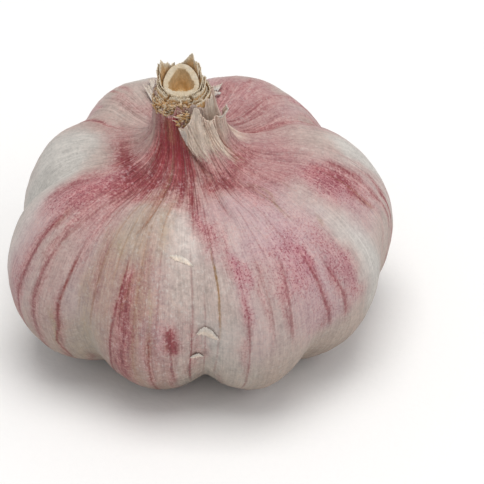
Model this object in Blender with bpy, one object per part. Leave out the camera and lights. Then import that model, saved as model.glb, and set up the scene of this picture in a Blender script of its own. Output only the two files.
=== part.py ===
"""A whole garlic bulb with a cut stalk, standing on the undersides of its cloves.

The cloves sit in a ring round a stalk and are wrapped in one papery skin. The skin closes into a
neck, which leans a little to the left and holds the cut stalk and the dry leaf bases round it.
Underneath, the root plate sits in the hollow between the cloves, with its roots trimmed short.
Units are metres, Z is up, and the origin is on the table under the middle of the outline.
"""
import math

import bmesh
import bpy
import numpy as np

MM = 0.001
TAU = 2 * math.pi

# Gap between neighbouring pieces
GAP = 0.3 * MM

# Where the stalk's axis meets the table
AXIS_X = -0.25 * MM
AXIS_Y = 1.2 * MM

# Cloves, counterclockwise from above: azimuth and half width in degrees, reach and rise as factors,
# and how much of the valley beside the clove the skin bridges over at the shoulder
CLOVES = [
    (209, 22, 1.06, 1.00, 0.15),
    (249, 23, 0.97, 1.00, 0.60),
    (291, 19, 1.00, 1.00, 0.70),
    (328, 24, 0.99, 1.00, 0.50),
    (3, 24, 1.00, 1.03, 0.20),
    (60, 28, 0.94, 1.06, 0.10),
    (116, 29, 0.93, 1.05, 0.10),
    (163, 22, 0.95, 1.01, 0.00),
]
CLOVE_ROUNDNESS = 5.0
BRIDGED_FROM = 9.0 * MM
BRIDGED_FULLY = 28.0 * MM

# Outline of the wrapped bulb over a clove: radius, height, depth of the valleys beside the clove, in mm
OUTLINE = [
    (8.4, 4.6, 0.0),
    (8.8, 3.0, 0.2),
    (10.6, 1.0, 0.8),
    (15.0, -0.4, 2.0),
    (23.0, 1.2, 3.4),
    (29.5, 7.5, 4.0),
    (32.0, 15.5, 3.6),
    (30.5, 23.5, 3.2),
    (25.5, 30.0, 2.7),
    (19.0, 33.2, 2.3),
    (13.4, 33.8, 1.7),
    (9.0, 34.8, 1.0),
    (6.7, 37.0, 0.4),
    (5.6, 40.0, 0.1),
    (5.2, 42.8, 0.0),
    (5.0, 45.6, 0.0),
]
PLATE_RADIUS = 8.4 * MM
FOOT_RADIUS = 9.0 * MM
SHOULDER_RADIUS = 20.0 * MM
SHOULDER_HEIGHT = 30.0 * MM
BULB_COLUMNS = 104
BULB_ROWS = 30

# Neck: its lean, its lengthwise folds (how many, how strong, turned by) and its torn rim (the same)
LEAN_X = -2.8 * MM
LEAN_FROM = 22.0 * MM
LEAN_TO = 46.0 * MM
NECK_TOP = 45.6 * MM
NECK_MIDDLE = 43.0 * MM
NECK_FLOOR = 39.0 * MM
FOLDS = [(17, 1.0, 0.6), (29, 0.7, 2.1)]
FOLD_HEIGHT = 0.2 * MM
FOLDS_FROM = 28.0 * MM
FOLDS_FULL = 36.0 * MM
FOLDS_EASE = 41.0 * MM
RIM_TEETH = [(5, 1.0, 1.0), (11, 0.8, 0.0), (23, 0.6, 2.0)]
RIM_TOOTH = 0.45 * MM

# Stalk: its cut end is a rounded triangle with one corner at the back, sloping down to the front
STALK_RADIUS = 2.85 * MM
STALK_CORNERS = 0.06
STALK_DEEPER = 0.04
STALK_WALL = 1.05 * MM
STALK_TOP = 47.6 * MM
STALK_EDGE = 0.25 * MM
PITH_DEPTH = 3.2 * MM
PITH_DISH = 0.3 * MM
CUT_SLOPE = 0.40
STALK_COLUMNS = 30

# Leaf bases round the stalk: name, first and last azimuth in degrees, height over the neck and height
# of the teeth in mm, and how far they lean out as they rise
LEAF_BASES = [
    ("leaf_base_back_right", 22, 98, 3.4, 0.9, 0.10),
    ("leaf_base_back_left", 106, 172, 2.9, 0.9, 0.16),
    ("leaf_base_left", 180, 232, 1.3, 0.6, 0.24),
    ("leaf_base_front", 240, 292, 0.8, 0.6, 0.30),
    ("leaf_base_right", 300, 374, 1.9, 0.9, 0.26),
]
LEAF_BASE_THICK = 0.6 * MM
LEAF_BASE_FROM = 0.6 * MM
LEAF_LEAN_FROM = 1.4 * MM
LEAF_TEETH = [(19, 0.5), (41, 0.3)]
LEAF_CROWN = 0.5
LEAF_COLUMNS = 12
LEAF_ROWS = 7

# Loose outer skin: name, azimuth of the two sides at the torn top and at the foot in degrees, then how
# far below the rim the top and the foot lie along the outline at each side, how long the teeth are and
# how far the top peels off, in mm, and the columns and rows of its mesh
LOOSE_SKINS = [
    ("torn_outer_skin", (264, 342), (300, 338), (0.2, 1.0), (16.5, 21.5), 1.0, 0.8, 15, 11),
    ("skin_scrap_left", (108, 116), (107, 115), (16.5, 16.0), (22.0, 21.5), 0.5, 0.5, 6, 6),
    ("skin_scrap_right", (69, 81), (71, 80), (17.0, 16.6), (19.6, 20.4), 0.5, 0.5, 7, 5),
]
LOOSE_GAP = 0.4 * MM
LOOSE_THICK = 0.6 * MM
LOOSE_TEETH = [(9, 0.7, 0.0), (17, 0.45, 1.0)]

# Root plate and the trimmed roots under it
ROOT_PLATE_RADIUS = 7.9 * MM
ROOT_PLATE_TOP = 4.25 * MM
ROOT_PLATE_WIDEST = 3.5 * MM
ROOT_PLATE_LOWER = 2.8 * MM
ROOT_PLATE_LOWEST = 2.3 * MM
PLATE_LUMPS = [(7, 0.18, 0.0), (13, 0.12, 1.0)]
PLATE_COLUMNS = 40
ROOTS = 34
ROOT_TURN = math.radians(137.5)
ROOT_RING = 6.8 * MM
ROOT_HIGH = 3.6 * MM
ROOT_LOW = (0.4 * MM, 1.1 * MM)
ROOT_SPLAY = (0.05, 0.22)
ROOT_RADIUS = 0.52 * MM
ROOT_TIP_RADIUS = 0.34 * MM
ROOT_SIDES = 5

# Colours, as red, green and blue
SKIN_COLOUR = (0.72, 0.56, 0.56)
PALE_COLOUR = (0.78, 0.70, 0.62)
STALK_COLOUR = (0.76, 0.68, 0.50)
ROOT_COLOUR = (0.50, 0.38, 0.24)


def smooth_step(value, low, high):
    """Rises from 0 at low to 1 at high, level at both ends."""
    share = np.clip((value - low) / (high - low), 0.0, 1.0)
    return share * share * (3 - 2 * share)


def ripple(azimuth, waves):
    """A sum of cosines round the axis, from a list of how many, how strong and turned by."""
    return sum(strength * np.cos(count * azimuth + turn) for count, strength, turn in waves)


def outline_points():
    """The outline's points in metres, and the distance along it to each."""
    points = np.array(OUTLINE) * MM
    steps = np.hypot(*(points[1:, :2] - points[:-1, :2]).T)
    return points, np.concatenate([[0.0], np.cumsum(steps)])


def outline_at(share):
    """Radius, height and valley depth at a share of the outline, with the outline's two tangent parts.

    The outline is a Hermite curve through its points, parted by their distances along it.
    """
    points, along = outline_points()
    slopes = np.empty_like(points)
    slopes[1:-1] = (points[2:] - points[:-2]) / (along[2:] - along[:-2])[:, None]
    slopes[0] = (points[1] - points[0]) / (along[1] - along[0])
    slopes[-1] = (points[-1] - points[-2]) / (along[-1] - along[-2])
    place = np.asarray(share, float) * along[-1]
    first = np.clip(np.searchsorted(along, place, side="right") - 1, 0, len(points) - 2)
    span = (along[first + 1] - along[first])[..., None]
    u = (place - along[first])[..., None] / span
    here, there = points[first], points[first + 1]
    out, into = slopes[first] * span, slopes[first + 1] * span
    value = (
        (2 * u**3 - 3 * u**2 + 1) * here
        + (u**3 - 2 * u**2 + u) * out
        + (3 * u**2 - 2 * u**3) * there
        + (u**3 - u**2) * into
    )
    slope = (
        (6 * u**2 - 6 * u) * (here - there)
        + (3 * u**2 - 4 * u + 1) * out
        + (3 * u**2 - 2 * u) * into
    )
    length = np.hypot(slope[..., 0], slope[..., 1])
    return value, slope[..., 0] / length, slope[..., 1] / length


def clove_at(azimuth):
    """How full the bulb is at an azimuth, 1 over a clove and 0 between two, then reach, rise and bridging.

    Each clove is a parabola over its azimuth. Their soft maximum gives rounded cloves and soft valleys.
    """
    cloves = np.array(CLOVES, float)
    away = (np.degrees(azimuth)[..., None] - cloves[:, 0] + 180) % 360 - 180
    height = np.exp(CLOVE_ROUNDNESS * (1 - (away / cloves[:, 1]) ** 2))
    total = height.sum(axis=-1)
    weight = height / total[..., None]
    reach, rise, bridged = ((weight * cloves[:, k]).sum(axis=-1) for k in (2, 3, 4))
    return np.log(total) / CLOVE_ROUNDNESS, reach, rise, bridged


def neck_axis(height):
    """The middle of the neck at a height, which leans to the left as it rises."""
    return AXIS_X + LEAN_X * smooth_step(height, LEAN_FROM, LEAN_TO), AXIS_Y


def skin_point(azimuth, share, lift=0.0):
    """A point on the skin, or lifted off it along the outline's normal.

    The valleys between cloves sink by the outline's third value, and cosine folds run down from the neck.
    Beyond the root hollow no point is lower than the table, which gives each clove a small flat spot.
    """
    azimuth, share = np.broadcast_arrays(np.asarray(azimuth, float), np.asarray(share, float))
    value, along_radius, along_height = outline_at(share)
    radius, height, valley = value[..., 0], value[..., 1], value[..., 2]
    full, reach, rise, bridged = clove_at(azimuth)
    valley = valley * (1 - bridged * smooth_step(height, BRIDGED_FROM, BRIDGED_FULLY))
    folded = smooth_step(height, FOLDS_FROM, FOLDS_FULL) * (1 - 0.5 * smooth_step(height, FOLDS_EASE, NECK_TOP))
    off = valley * (full - 1) + FOLD_HEIGHT * ripple(azimuth, FOLDS) * folded + lift
    outer = smooth_step(radius, PLATE_RADIUS, SHOULDER_RADIUS)
    wide = 1 + (reach - 1) * np.clip((radius - PLATE_RADIUS) / SHOULDER_RADIUS, 0, 1)
    tall = 1 + (rise - 1) * outer * np.clip(height / SHOULDER_HEIGHT, 0, 1)
    across = radius * wide + along_height * off
    up = height * tall - along_radius * off
    up = np.where(radius > FOOT_RADIUS, np.maximum(up, 0.0), up)
    centre_x, centre_y = neck_axis(up)
    return np.stack([centre_x + across * np.cos(azimuth), centre_y + across * np.sin(azimuth), up], axis=-1)


def neck_ring(azimuth, outside, height):
    """Points round the stalk's axis, outside the stalk by a distance, at a height for each azimuth.

    The stalk's radius swells three times round it, once at the back, and a little at the front and back.
    """
    corners = 1 + STALK_CORNERS * np.cos(3 * (azimuth - TAU / 4))
    deeper = 1 + STALK_DEEPER * np.sin(azimuth) ** 2
    radius = STALK_RADIUS * corners * deeper + outside
    centre_x, centre_y = neck_axis(height)
    return np.stack([centre_x + radius * np.cos(azimuth), centre_y + radius * np.sin(azimuth), height], axis=-1)


def make_material(name, colour, roughness):
    """A plain material of one colour."""
    material = bpy.data.materials.new(name)
    material.use_nodes = True
    shader = material.node_tree.nodes["Principled BSDF"]
    shader.inputs["Base Color"].default_value = (*colour, 1.0)
    shader.inputs["Roughness"].default_value = roughness
    shader.inputs["Metallic"].default_value = 0.0
    return material


def add_object(name, points, faces, material):
    """A named mesh object from points and faces, shaded smooth, with its faces pointing out."""
    mesh = bpy.data.meshes.new(name)
    mesh.from_pydata([tuple(p) for p in points], [], faces)
    work = bmesh.new()
    work.from_mesh(mesh)
    bmesh.ops.recalc_face_normals(work, faces=work.faces)
    work.to_mesh(mesh)
    work.free()
    mesh.materials.append(material)
    mesh.shade_smooth()
    placed = bpy.data.objects.new(name, mesh)
    bpy.context.scene.collection.objects.link(placed)
    return placed


def closed_rings(name, rings, first_pole, last_pole, material):
    """A closed body skinned over rings of equal length, with a pole point at each end."""
    count = len(rings[0])
    points = [first_pole] + [p for ring in rings for p in ring] + [last_pole]
    last = len(points) - 1
    top = last - count
    faces = []
    for i in range(count):
        j = (i + 1) % count
        faces.append((0, 1 + j, 1 + i))
        for low in range(1, top, count):
            faces.append((low + i, low + j, low + count + j, low + count + i))
        faces.append((last, top + i, top + j))
    return add_object(name, points, faces, material)


def closed_sheet(name, under, over, material):
    """A closed thin body between two grids of points of the same shape, split alike on both faces."""
    rows, columns = under.shape[:2]
    size = rows * columns
    points = np.concatenate([under.reshape(-1, 3), over.reshape(-1, 3)])
    faces = []
    for r in range(rows - 1):
        for c in range(columns - 1):
            a, b = r * columns + c, r * columns + c + 1
            d, e = a + columns, b + columns
            faces += [(a, d, e), (a, e, b), (size + a, size + e, size + d), (size + a, size + b, size + e)]
    border = list(range(columns))
    border += [r * columns + columns - 1 for r in range(1, rows)]
    border += [(rows - 1) * columns + c for c in range(columns - 2, -1, -1)]
    border += [r * columns for r in range(rows - 2, 0, -1)]
    for i, a in enumerate(border):
        b = border[(i + 1) % len(border)]
        faces += [(a, b, size + b), (a, size + b, size + a)]
    return add_object(name, points, faces, material)


def make_bulb(material):
    """The cloves in their skin, from the hollow of the root plate up to the torn rim and the neck's bore."""
    around = np.linspace(0, TAU, BULB_COLUMNS, endpoint=False)
    rings = [skin_point(around, share) for share in np.linspace(0, 1, BULB_ROWS)]
    torn = RIM_TOOTH * ripple(around, RIM_TEETH)
    rings[-1][:, 2] += torn
    bore = 2 * GAP + LEAF_BASE_THICK
    rings.append(neck_ring(around, bore, NECK_TOP + torn))
    rings.append(neck_ring(around, bore, np.full_like(around, NECK_MIDDLE)))
    rings.append(neck_ring(around, bore, np.full_like(around, NECK_FLOOR)))
    under = (AXIS_X, AXIS_Y, OUTLINE[0][1] * MM)
    floor = (*neck_axis(NECK_FLOOR), NECK_FLOOR)
    return closed_rings("wrapped_bulb", rings, under, floor, material)


def make_stalk(material):
    """The cut flower stalk: a pale ring cut on the slant, with dry pith sunk in its middle."""
    around = np.linspace(0, TAU, STALK_COLUMNS, endpoint=False)
    cut = STALK_TOP + CUT_SLOPE * STALK_RADIUS * np.sin(around)
    inner_cut = STALK_TOP + CUT_SLOPE * (STALK_RADIUS - STALK_WALL) * np.sin(around)
    foot = NECK_FLOOR + GAP
    pith = STALK_TOP - PITH_DEPTH
    rings = [
        neck_ring(around, 0.0, np.full_like(around, foot)),
        neck_ring(around, 0.0, np.full_like(around, NECK_MIDDLE)),
        neck_ring(around, 0.0, cut - STALK_EDGE),
        neck_ring(around, -STALK_EDGE, cut),
        neck_ring(around, -STALK_WALL, inner_cut),
        neck_ring(around, -STALK_WALL, inner_cut - STALK_EDGE),
        neck_ring(around, -STALK_WALL - STALK_EDGE, np.full_like(around, pith)),
    ]
    low_pole = (*neck_axis(foot), foot)
    high_pole = (*neck_axis(STALK_TOP), pith - PITH_DISH)
    return closed_rings("cut_stalk", rings, low_pole, high_pole, material)


def make_leaf_base(name, first, last, above, teeth, lean, material):
    """A strip of leaf base that hugs the stalk in the bore, then leans out and ends in torn teeth.

    It is highest in its middle, and the teeth are cosines round the stalk.
    """
    azimuth = np.radians(np.linspace(first, last, LEAF_COLUMNS))
    from_middle = np.abs(np.linspace(-1, 1, LEAF_COLUMNS))
    crown = 1 - LEAF_CROWN * from_middle**2
    jagged = teeth * ripple(azimuth, [(count, strength, above) for count, strength in LEAF_TEETH])
    top = NECK_TOP + LEAF_BASE_FROM + (above * crown + jagged) * MM
    rise = np.linspace(0, 1, LEAF_ROWS)[:, None]
    height = (NECK_FLOOR + GAP) * (1 - rise) + top * rise
    leaning = lean * np.maximum(height - NECK_TOP - LEAF_LEAN_FROM, 0)
    under = neck_ring(azimuth + 0 * height, GAP + leaning, height)
    over = neck_ring(azimuth + 0 * height, GAP + LEAF_BASE_THICK + leaning, height)
    return closed_sheet(name, under, over, material)


def make_loose_skin(name, top_sides, foot_sides, top_below, foot_below, teeth, peel, columns, rows, material):
    """A piece of torn outer skin, which peels off at its top edge and lies close at its foot.

    Azimuth and distance below the rim run evenly from side to side and from the top down to the foot.
    """
    side = np.linspace(0, 1, columns)
    fall = np.linspace(0, 1, rows)[:, None]
    at_top = top_sides[0] * (1 - side) + top_sides[1] * side
    at_foot = foot_sides[0] * (1 - side) + foot_sides[1] * side
    azimuth = np.radians(at_top * (1 - fall) + at_foot * fall)
    torn = teeth * (ripple(math.pi * side, LOOSE_TEETH) - LOOSE_TEETH[0][1])
    highest = top_below[0] * (1 - side) + top_below[1] * side - torn
    lowest = foot_below[0] * (1 - side) + foot_below[1] * side - 0.5 * torn
    length = outline_points()[1][-1]
    share = 1 - np.maximum(highest * (1 - fall) + lowest * fall, 0) * MM / length
    away = LOOSE_GAP + peel * MM * (1 - fall) ** 2
    under = skin_point(azimuth, share, away)
    over = skin_point(azimuth, share, away + LOOSE_THICK)
    return closed_sheet(name, under, over, material)


def make_roots(plate):
    """Trimmed root stubs on a golden-angle spiral under the plate, joined to it by one Boolean union."""
    stubs = bpy.data.collections.new("root_stubs")
    bpy.context.scene.collection.children.link(stubs)
    draw = np.random.default_rng(7)
    for i in range(ROOTS):
        reach = ROOT_RING * math.sqrt((i + 0.6) / ROOTS)
        low = draw.uniform(*ROOT_LOW)
        splay = 1 + draw.uniform(*ROOT_SPLAY) * reach / ROOT_RING
        work = bmesh.new()
        bmesh.ops.create_cone(
            work,
            cap_ends=True,
            segments=ROOT_SIDES,
            radius1=ROOT_TIP_RADIUS,
            radius2=ROOT_RADIUS,
            depth=ROOT_HIGH - low,
        )
        for corner in work.verts:
            away = reach * splay if corner.co.z < 0 else reach
            corner.co.x += AXIS_X + away * math.cos(i * ROOT_TURN)
            corner.co.y += AXIS_Y + away * math.sin(i * ROOT_TURN)
            corner.co.z += (ROOT_HIGH + low) / 2
        mesh = bpy.data.meshes.new("root_stub")
        work.to_mesh(mesh)
        work.free()
        stubs.objects.link(bpy.data.objects.new("root_stub", mesh))
    union = plate.modifiers.new("roots", "BOOLEAN")
    union.operation = "UNION"
    union.operand_type = "COLLECTION"
    union.collection = stubs
    union.solver = "MANIFOLD"
    graph = bpy.context.evaluated_depsgraph_get()
    joined = bpy.data.meshes.new_from_object(plate.evaluated_get(graph))
    plate.modifiers.clear()
    plate.data = joined
    for stub in list(stubs.objects):
        bpy.data.objects.remove(stub)
    bpy.data.collections.remove(stubs)


def make_root_plate(material):
    """The corky disc that the cloves and the stalk grow from, lumpy at its edge and domed downwards."""
    around = np.linspace(0, TAU, PLATE_COLUMNS, endpoint=False)
    lumps = MM * ripple(around, PLATE_LUMPS)
    rings = []
    for share, height in (
        (0.55, 0.9 * ROOT_PLATE_LOWEST + 0.1 * ROOT_PLATE_TOP),
        (0.92, ROOT_PLATE_LOWER),
        (1.00, ROOT_PLATE_WIDEST),
        (0.96, ROOT_PLATE_TOP),
    ):
        reach = share * (ROOT_PLATE_RADIUS + lumps)
        x = AXIS_X + reach * np.cos(around)
        y = AXIS_Y + reach * np.sin(around)
        rings.append(np.stack([x, y, np.full_like(x, height)], axis=-1))
    under = (AXIS_X, AXIS_Y, ROOT_PLATE_LOWEST)
    over = (AXIS_X, AXIS_Y, ROOT_PLATE_TOP)
    make_roots(closed_rings("root_plate", rings, under, over, material))


def build():
    """Clears the scene and makes every piece."""
    for old in list(bpy.data.objects):
        bpy.data.objects.remove(old)
    skin = make_material("striped_skin", SKIN_COLOUR, 0.55)
    pale = make_material("pale_skin", PALE_COLOUR, 0.60)
    stalk = make_material("dry_stalk", STALK_COLOUR, 0.75)
    root = make_material("corky_root", ROOT_COLOUR, 0.85)
    make_bulb(skin)
    make_stalk(stalk)
    for leaf_base in LEAF_BASES:
        make_leaf_base(*leaf_base, stalk)
    for loose_skin in LOOSE_SKINS:
        make_loose_skin(*loose_skin, pale)
    make_root_plate(root)


build()
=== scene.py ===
import math

import bpy
import numpy as np
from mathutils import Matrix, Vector


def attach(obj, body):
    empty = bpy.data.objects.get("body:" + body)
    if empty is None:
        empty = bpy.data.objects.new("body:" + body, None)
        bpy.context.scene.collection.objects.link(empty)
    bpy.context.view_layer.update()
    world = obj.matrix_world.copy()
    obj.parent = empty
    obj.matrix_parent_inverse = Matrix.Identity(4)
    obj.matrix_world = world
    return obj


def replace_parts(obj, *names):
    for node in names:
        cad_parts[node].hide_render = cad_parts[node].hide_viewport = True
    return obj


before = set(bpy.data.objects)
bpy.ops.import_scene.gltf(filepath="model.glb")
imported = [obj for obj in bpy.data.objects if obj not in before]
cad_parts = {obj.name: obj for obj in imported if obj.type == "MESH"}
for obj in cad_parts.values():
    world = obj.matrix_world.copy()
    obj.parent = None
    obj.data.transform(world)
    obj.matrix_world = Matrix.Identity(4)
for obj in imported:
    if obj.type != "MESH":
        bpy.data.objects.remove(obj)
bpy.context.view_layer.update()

# Table, light and camera.
# The bulb stands on a wide, pale, matt table top. A large soft lamp overhead, a weak one at the right
# and an even sky light it, as in a small studio, and the camera looks down on it from the front.
MM = 0.001
TAU = 2 * math.pi
TABLE_HALF = 3.0
TABLE_COLOUR = (0.93, 0.925, 0.915, 1.0)
TABLE_SHADE = (0.90, 0.895, 0.89, 1.0)
SKY_COLOUR = (0.97, 0.98, 1.0, 1.0)
SKY_STRENGTH = 0.53
# Lamps: name, place and width in metres, power in watts, colour
LAMPS = [
    ("key_lamp", (0.0, -0.02, 0.95), 0.60, 5.5, (1.0, 0.985, 0.96)),
    ("fill_lamp", (0.70, -0.20, 0.60), 0.60, 1.3, (1.0, 0.99, 0.98)),
]
LOOK_DOWN = math.radians(39)
LOOK_FROM = 450 * MM
LOOK_AT = Vector((-0.25, 1.2, 20.0)) * MM
AIM_RIGHT = 6.8 * MM
AIM_LOW = 4.5 * MM
LENS = 202.5


class Tone:
    """One socket of a material's nodes. Python's operators on it add Math nodes, and node() any other."""

    def __init__(self, tree, socket=None):
        self.tree = tree
        self.socket = socket

    def node(self, kind, settings=None, values=None, output=0):
        """Adds a node of a kind: its settings are set first, then its sockets get values or links."""
        added = self.tree.nodes.new(kind)
        for name, value in (settings or {}).items():
            setattr(added, name, value)
        for name, value in (values or {}).items():
            if isinstance(value, Tone):
                self.tree.links.new(value.socket, added.inputs[name])
            else:
                added.inputs[name].default_value = value
        return Tone(self.tree, added.outputs[output] if added.outputs else None)

    def math(self, operation, first, second=0.0):
        """A Math node on one or two values."""
        return self.node("ShaderNodeMath", {"operation": operation}, {0: first, 1: second})

    def __add__(self, other):
        return self.math("ADD", self, other)

    def __sub__(self, other):
        return self.math("SUBTRACT", self, other)

    def __mul__(self, other):
        return self.math("MULTIPLY", self, other)

    def __rsub__(self, other):
        return self.math("SUBTRACT", other, self)

    def __abs__(self):
        return self.math("ABSOLUTE", self)

    __radd__ = __add__
    __rmul__ = __mul__

    def clamped(self):
        """The value, kept between 0 and 1."""
        return self.node("ShaderNodeClamp", None, {0: self})

    def between(self, low, high):
        """Rises smoothly from 0 where the value is low to 1 where it is high."""
        values = {0: self, 1: low, 2: high}
        return self.node("ShaderNodeMapRange", {"interpolation_type": "SMOOTHSTEP"}, values)

    def mixed(self, first, second):
        """The first colour where this value is 0, the second where it is 1, and their mix between."""
        return self.node("ShaderNodeMix", {"data_type": "RGBA"}, {0: self, 6: first, 7: second}, 2)

    def toward(self, colour, share):
        """This colour, mixed toward another by a share."""
        return share.mixed(self, colour)

    def scaled(self, factor):
        """This colour or vector, times a value."""
        return self.node("ShaderNodeVectorMath", {"operation": "SCALE"}, {0: self, 3: factor})

    def noise(self, scale, detail=2.0, roughness=0.5):
        """Noise at this place, spread out to run from about 0 to 1."""
        values = {"Vector": self, "Scale": scale, "Detail": detail, "Roughness": roughness}
        return self.node("ShaderNodeTexNoise", None, values).between(0.28, 0.72)

    def painted(self, name):
        """The numbers that a piece's points carry under a name."""
        return self.node("ShaderNodeAttribute", {"attribute_name": name}, None, 2)

    def painted_vector(self, name):
        """The three numbers that a piece's points carry under a name."""
        return self.node("ShaderNodeAttribute", {"attribute_name": name}, None, 1)

    def place(self):
        """The place on the object, in metres."""
        return self.node("ShaderNodeTexCoord", None, None, 3)

    def finish(self, colour, roughness, height, depth, **constants):
        """Ends the material in a Principled shader, with a bump of a depth in metres."""
        values = {"Base Color": colour, "Roughness": roughness}
        values["Normal"] = self.node("ShaderNodeBump", None, {"Height": height, "Distance": depth})
        for name, value in constants.items():
            values[name.replace("_", " ")] = value
        shader = self.node("ShaderNodeBsdfPrincipled", None, values)
        self.node("ShaderNodeOutputMaterial", None, {"Surface": shader})


def new_finish(name):
    """An empty material, and the tone that its nodes start from."""
    material = bpy.data.materials.new(name)
    material.use_nodes = True
    material.node_tree.nodes.clear()
    return material, Tone(material.node_tree)


def lamp(name, place, size, power, colour):
    """A square lamp at a place in metres, facing the bulb."""
    light = bpy.data.lights.new(name, "AREA")
    light.size = size
    light.energy = power
    light.color = colour
    held = bpy.data.objects.new(name, light)
    held.location = place
    held.rotation_euler = (LOOK_AT - Vector(place)).to_track_quat("-Z", "Y").to_euler()
    bpy.context.scene.collection.objects.link(held)


table_finish, tone = new_finish("table_top")
cloud = tone.place().noise(3.0)
speck = tone.place().noise(900.0)
tone.finish(cloud.mixed(TABLE_COLOUR, TABLE_SHADE), 0.75 + speck * 0.1, speck, 0.02 * MM)
table_mesh = bpy.data.meshes.new("table_top")
corners = [(x * TABLE_HALF, y * TABLE_HALF, 0.0) for x, y in ((-1, -1), (1, -1), (1, 1), (-1, 1))]
table_mesh.from_pydata(corners, [], [(0, 1, 2, 3)])
table_mesh.materials.append(table_finish)
table = bpy.data.objects.new("table_top", table_mesh)
bpy.context.scene.collection.objects.link(table)

sky = bpy.data.worlds.new("sky")
sky.use_nodes = True
glow = sky.node_tree.nodes["Background"].inputs
glow["Color"].default_value = SKY_COLOUR
glow["Strength"].default_value = SKY_STRENGTH
bpy.context.scene.world = sky
bpy.context.scene.view_settings.view_transform = "Standard"
for one in LAMPS:
    lamp(*one)

camera = bpy.data.objects.new("camera", bpy.data.cameras.new("camera"))
camera.data.lens = LENS
back = Vector((0.0, -math.cos(LOOK_DOWN), math.sin(LOOK_DOWN)))
upward = Vector((0.0, math.sin(LOOK_DOWN), math.cos(LOOK_DOWN)))
camera.location = LOOK_AT + back * LOOK_FROM
aim = LOOK_AT + Vector((AIM_RIGHT, 0.0, 0.0)) - upward * AIM_LOW
camera.rotation_euler = (aim - camera.location).to_track_quat("-Z", "Y").to_euler()
bpy.context.scene.collection.objects.link(camera)
bpy.context.scene.camera = camera

# The cloves in their wrapped skin.
# Eight cloves stand in a ring, wrapped in several dry papery skins that close into a pleated neck. The
# outermost whole skin is whitish, with a rose haze on the shoulders and wine red streaks and specks.
AXIS_X = -0.25
AXIS_Y = 1.2
# How far the neck leans to the left, and between which heights
LEAN_X = -2.8
LEAN_FROM = 22.0
LEAN_TO = 46.0
NECK_TOP = 45.6
NECK_FLOOR = 42.4
NECK_GAP = 0.9
# Cloves: azimuth and half width in degrees, reach and rise as factors, and bridging of the valleys
CLOVES = [
    (209, 22, 1.06, 1.00, 0.15),
    (249, 23, 0.97, 1.00, 0.60),
    (291, 19, 1.00, 1.00, 0.70),
    (328, 24, 0.99, 1.00, 0.50),
    (3, 24, 1.00, 1.03, 0.20),
    (60, 28, 0.94, 1.06, 0.10),
    (116, 29, 0.93, 1.05, 0.10),
    (163, 22, 0.95, 1.01, 0.00),
]
CLOVE_ROUNDNESS = 5.0
BRIDGED_FROM = 9.0
BRIDGED_FULLY = 28.0
# Outline over a clove, from the root hollow to the rim: radius, height and valley depth
OUTLINE = [
    (8.4, 4.6, 0.0),
    (8.8, 3.0, 0.2),
    (10.6, 1.0, 0.8),
    (15.0, -0.4, 2.0),
    (23.0, 1.2, 3.4),
    (29.5, 7.5, 4.0),
    (32.0, 15.5, 3.6),
    (30.5, 23.5, 3.2),
    (25.5, 30.0, 2.7),
    (19.0, 33.2, 2.3),
    (13.4, 33.8, 1.7),
    (9.0, 34.8, 1.0),
    (6.7, 37.0, 0.4),
    (5.6, 40.0, 0.1),
    (5.2, 42.8, 0.0),
    (5.0, 45.6, 0.0),
]
PLATE_RADIUS = 8.4
FOOT_RADIUS = 9.0
SHOULDER_RADIUS = 20.0
SHOULDER_HEIGHT = 30.0
# Neck folds and rim teeth: how many round the neck, how strong, turned by
FOLDS = [(17, 1.0, 0.6), (29, 0.7, 2.1)]
FOLD_HEIGHT = 0.2
FOLDS_FROM = 28.0
FOLDS_FULL = 36.0
FOLDS_EASE = 41.0
RIM_TEETH = [(5, 1.0, 1.0), (11, 0.8, 0.0), (23, 0.6, 2.0)]
RIM_TOOTH = 0.45
RIM_FRAY = 0.16
RIM_TORN_OVER = 2.5
RIM_THICK = 0.22
# The inside of the rim, going down: how many thicknesses inward, and how deep in mm
RIM_INSIDE = [(0.5, -0.05), (1.0, 0.1), (1.3, 0.8), (1.6, 2.0), (2.0, 3.2)]
RIM_INSIDE_LONG = 3.0
STALK_RADIUS = 2.85
STALK_CORNERS = 0.06
STALK_DEEPER = 0.04
SKIN_COLUMNS = 660
NECK_ROWS = 44
NECK_ROWS_TO = 15.0
BODY_ROWS = 98
FIBRES_ROUND = 64.0
FIBRE_LENGTH = 8.0


def smooth_step(value, low, high):
    """Rises from 0 at low to 1 at high, level at both ends."""
    share = np.clip((value - low) / (high - low), 0.0, 1.0)
    return share * share * (3 - 2 * share)


def ripple(azimuth, waves):
    """A sum of cosines round the axis, from a list of how many, how strong and turned by."""
    return sum(strength * np.cos(count * azimuth + turn) for count, strength, turn in waves)


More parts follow.
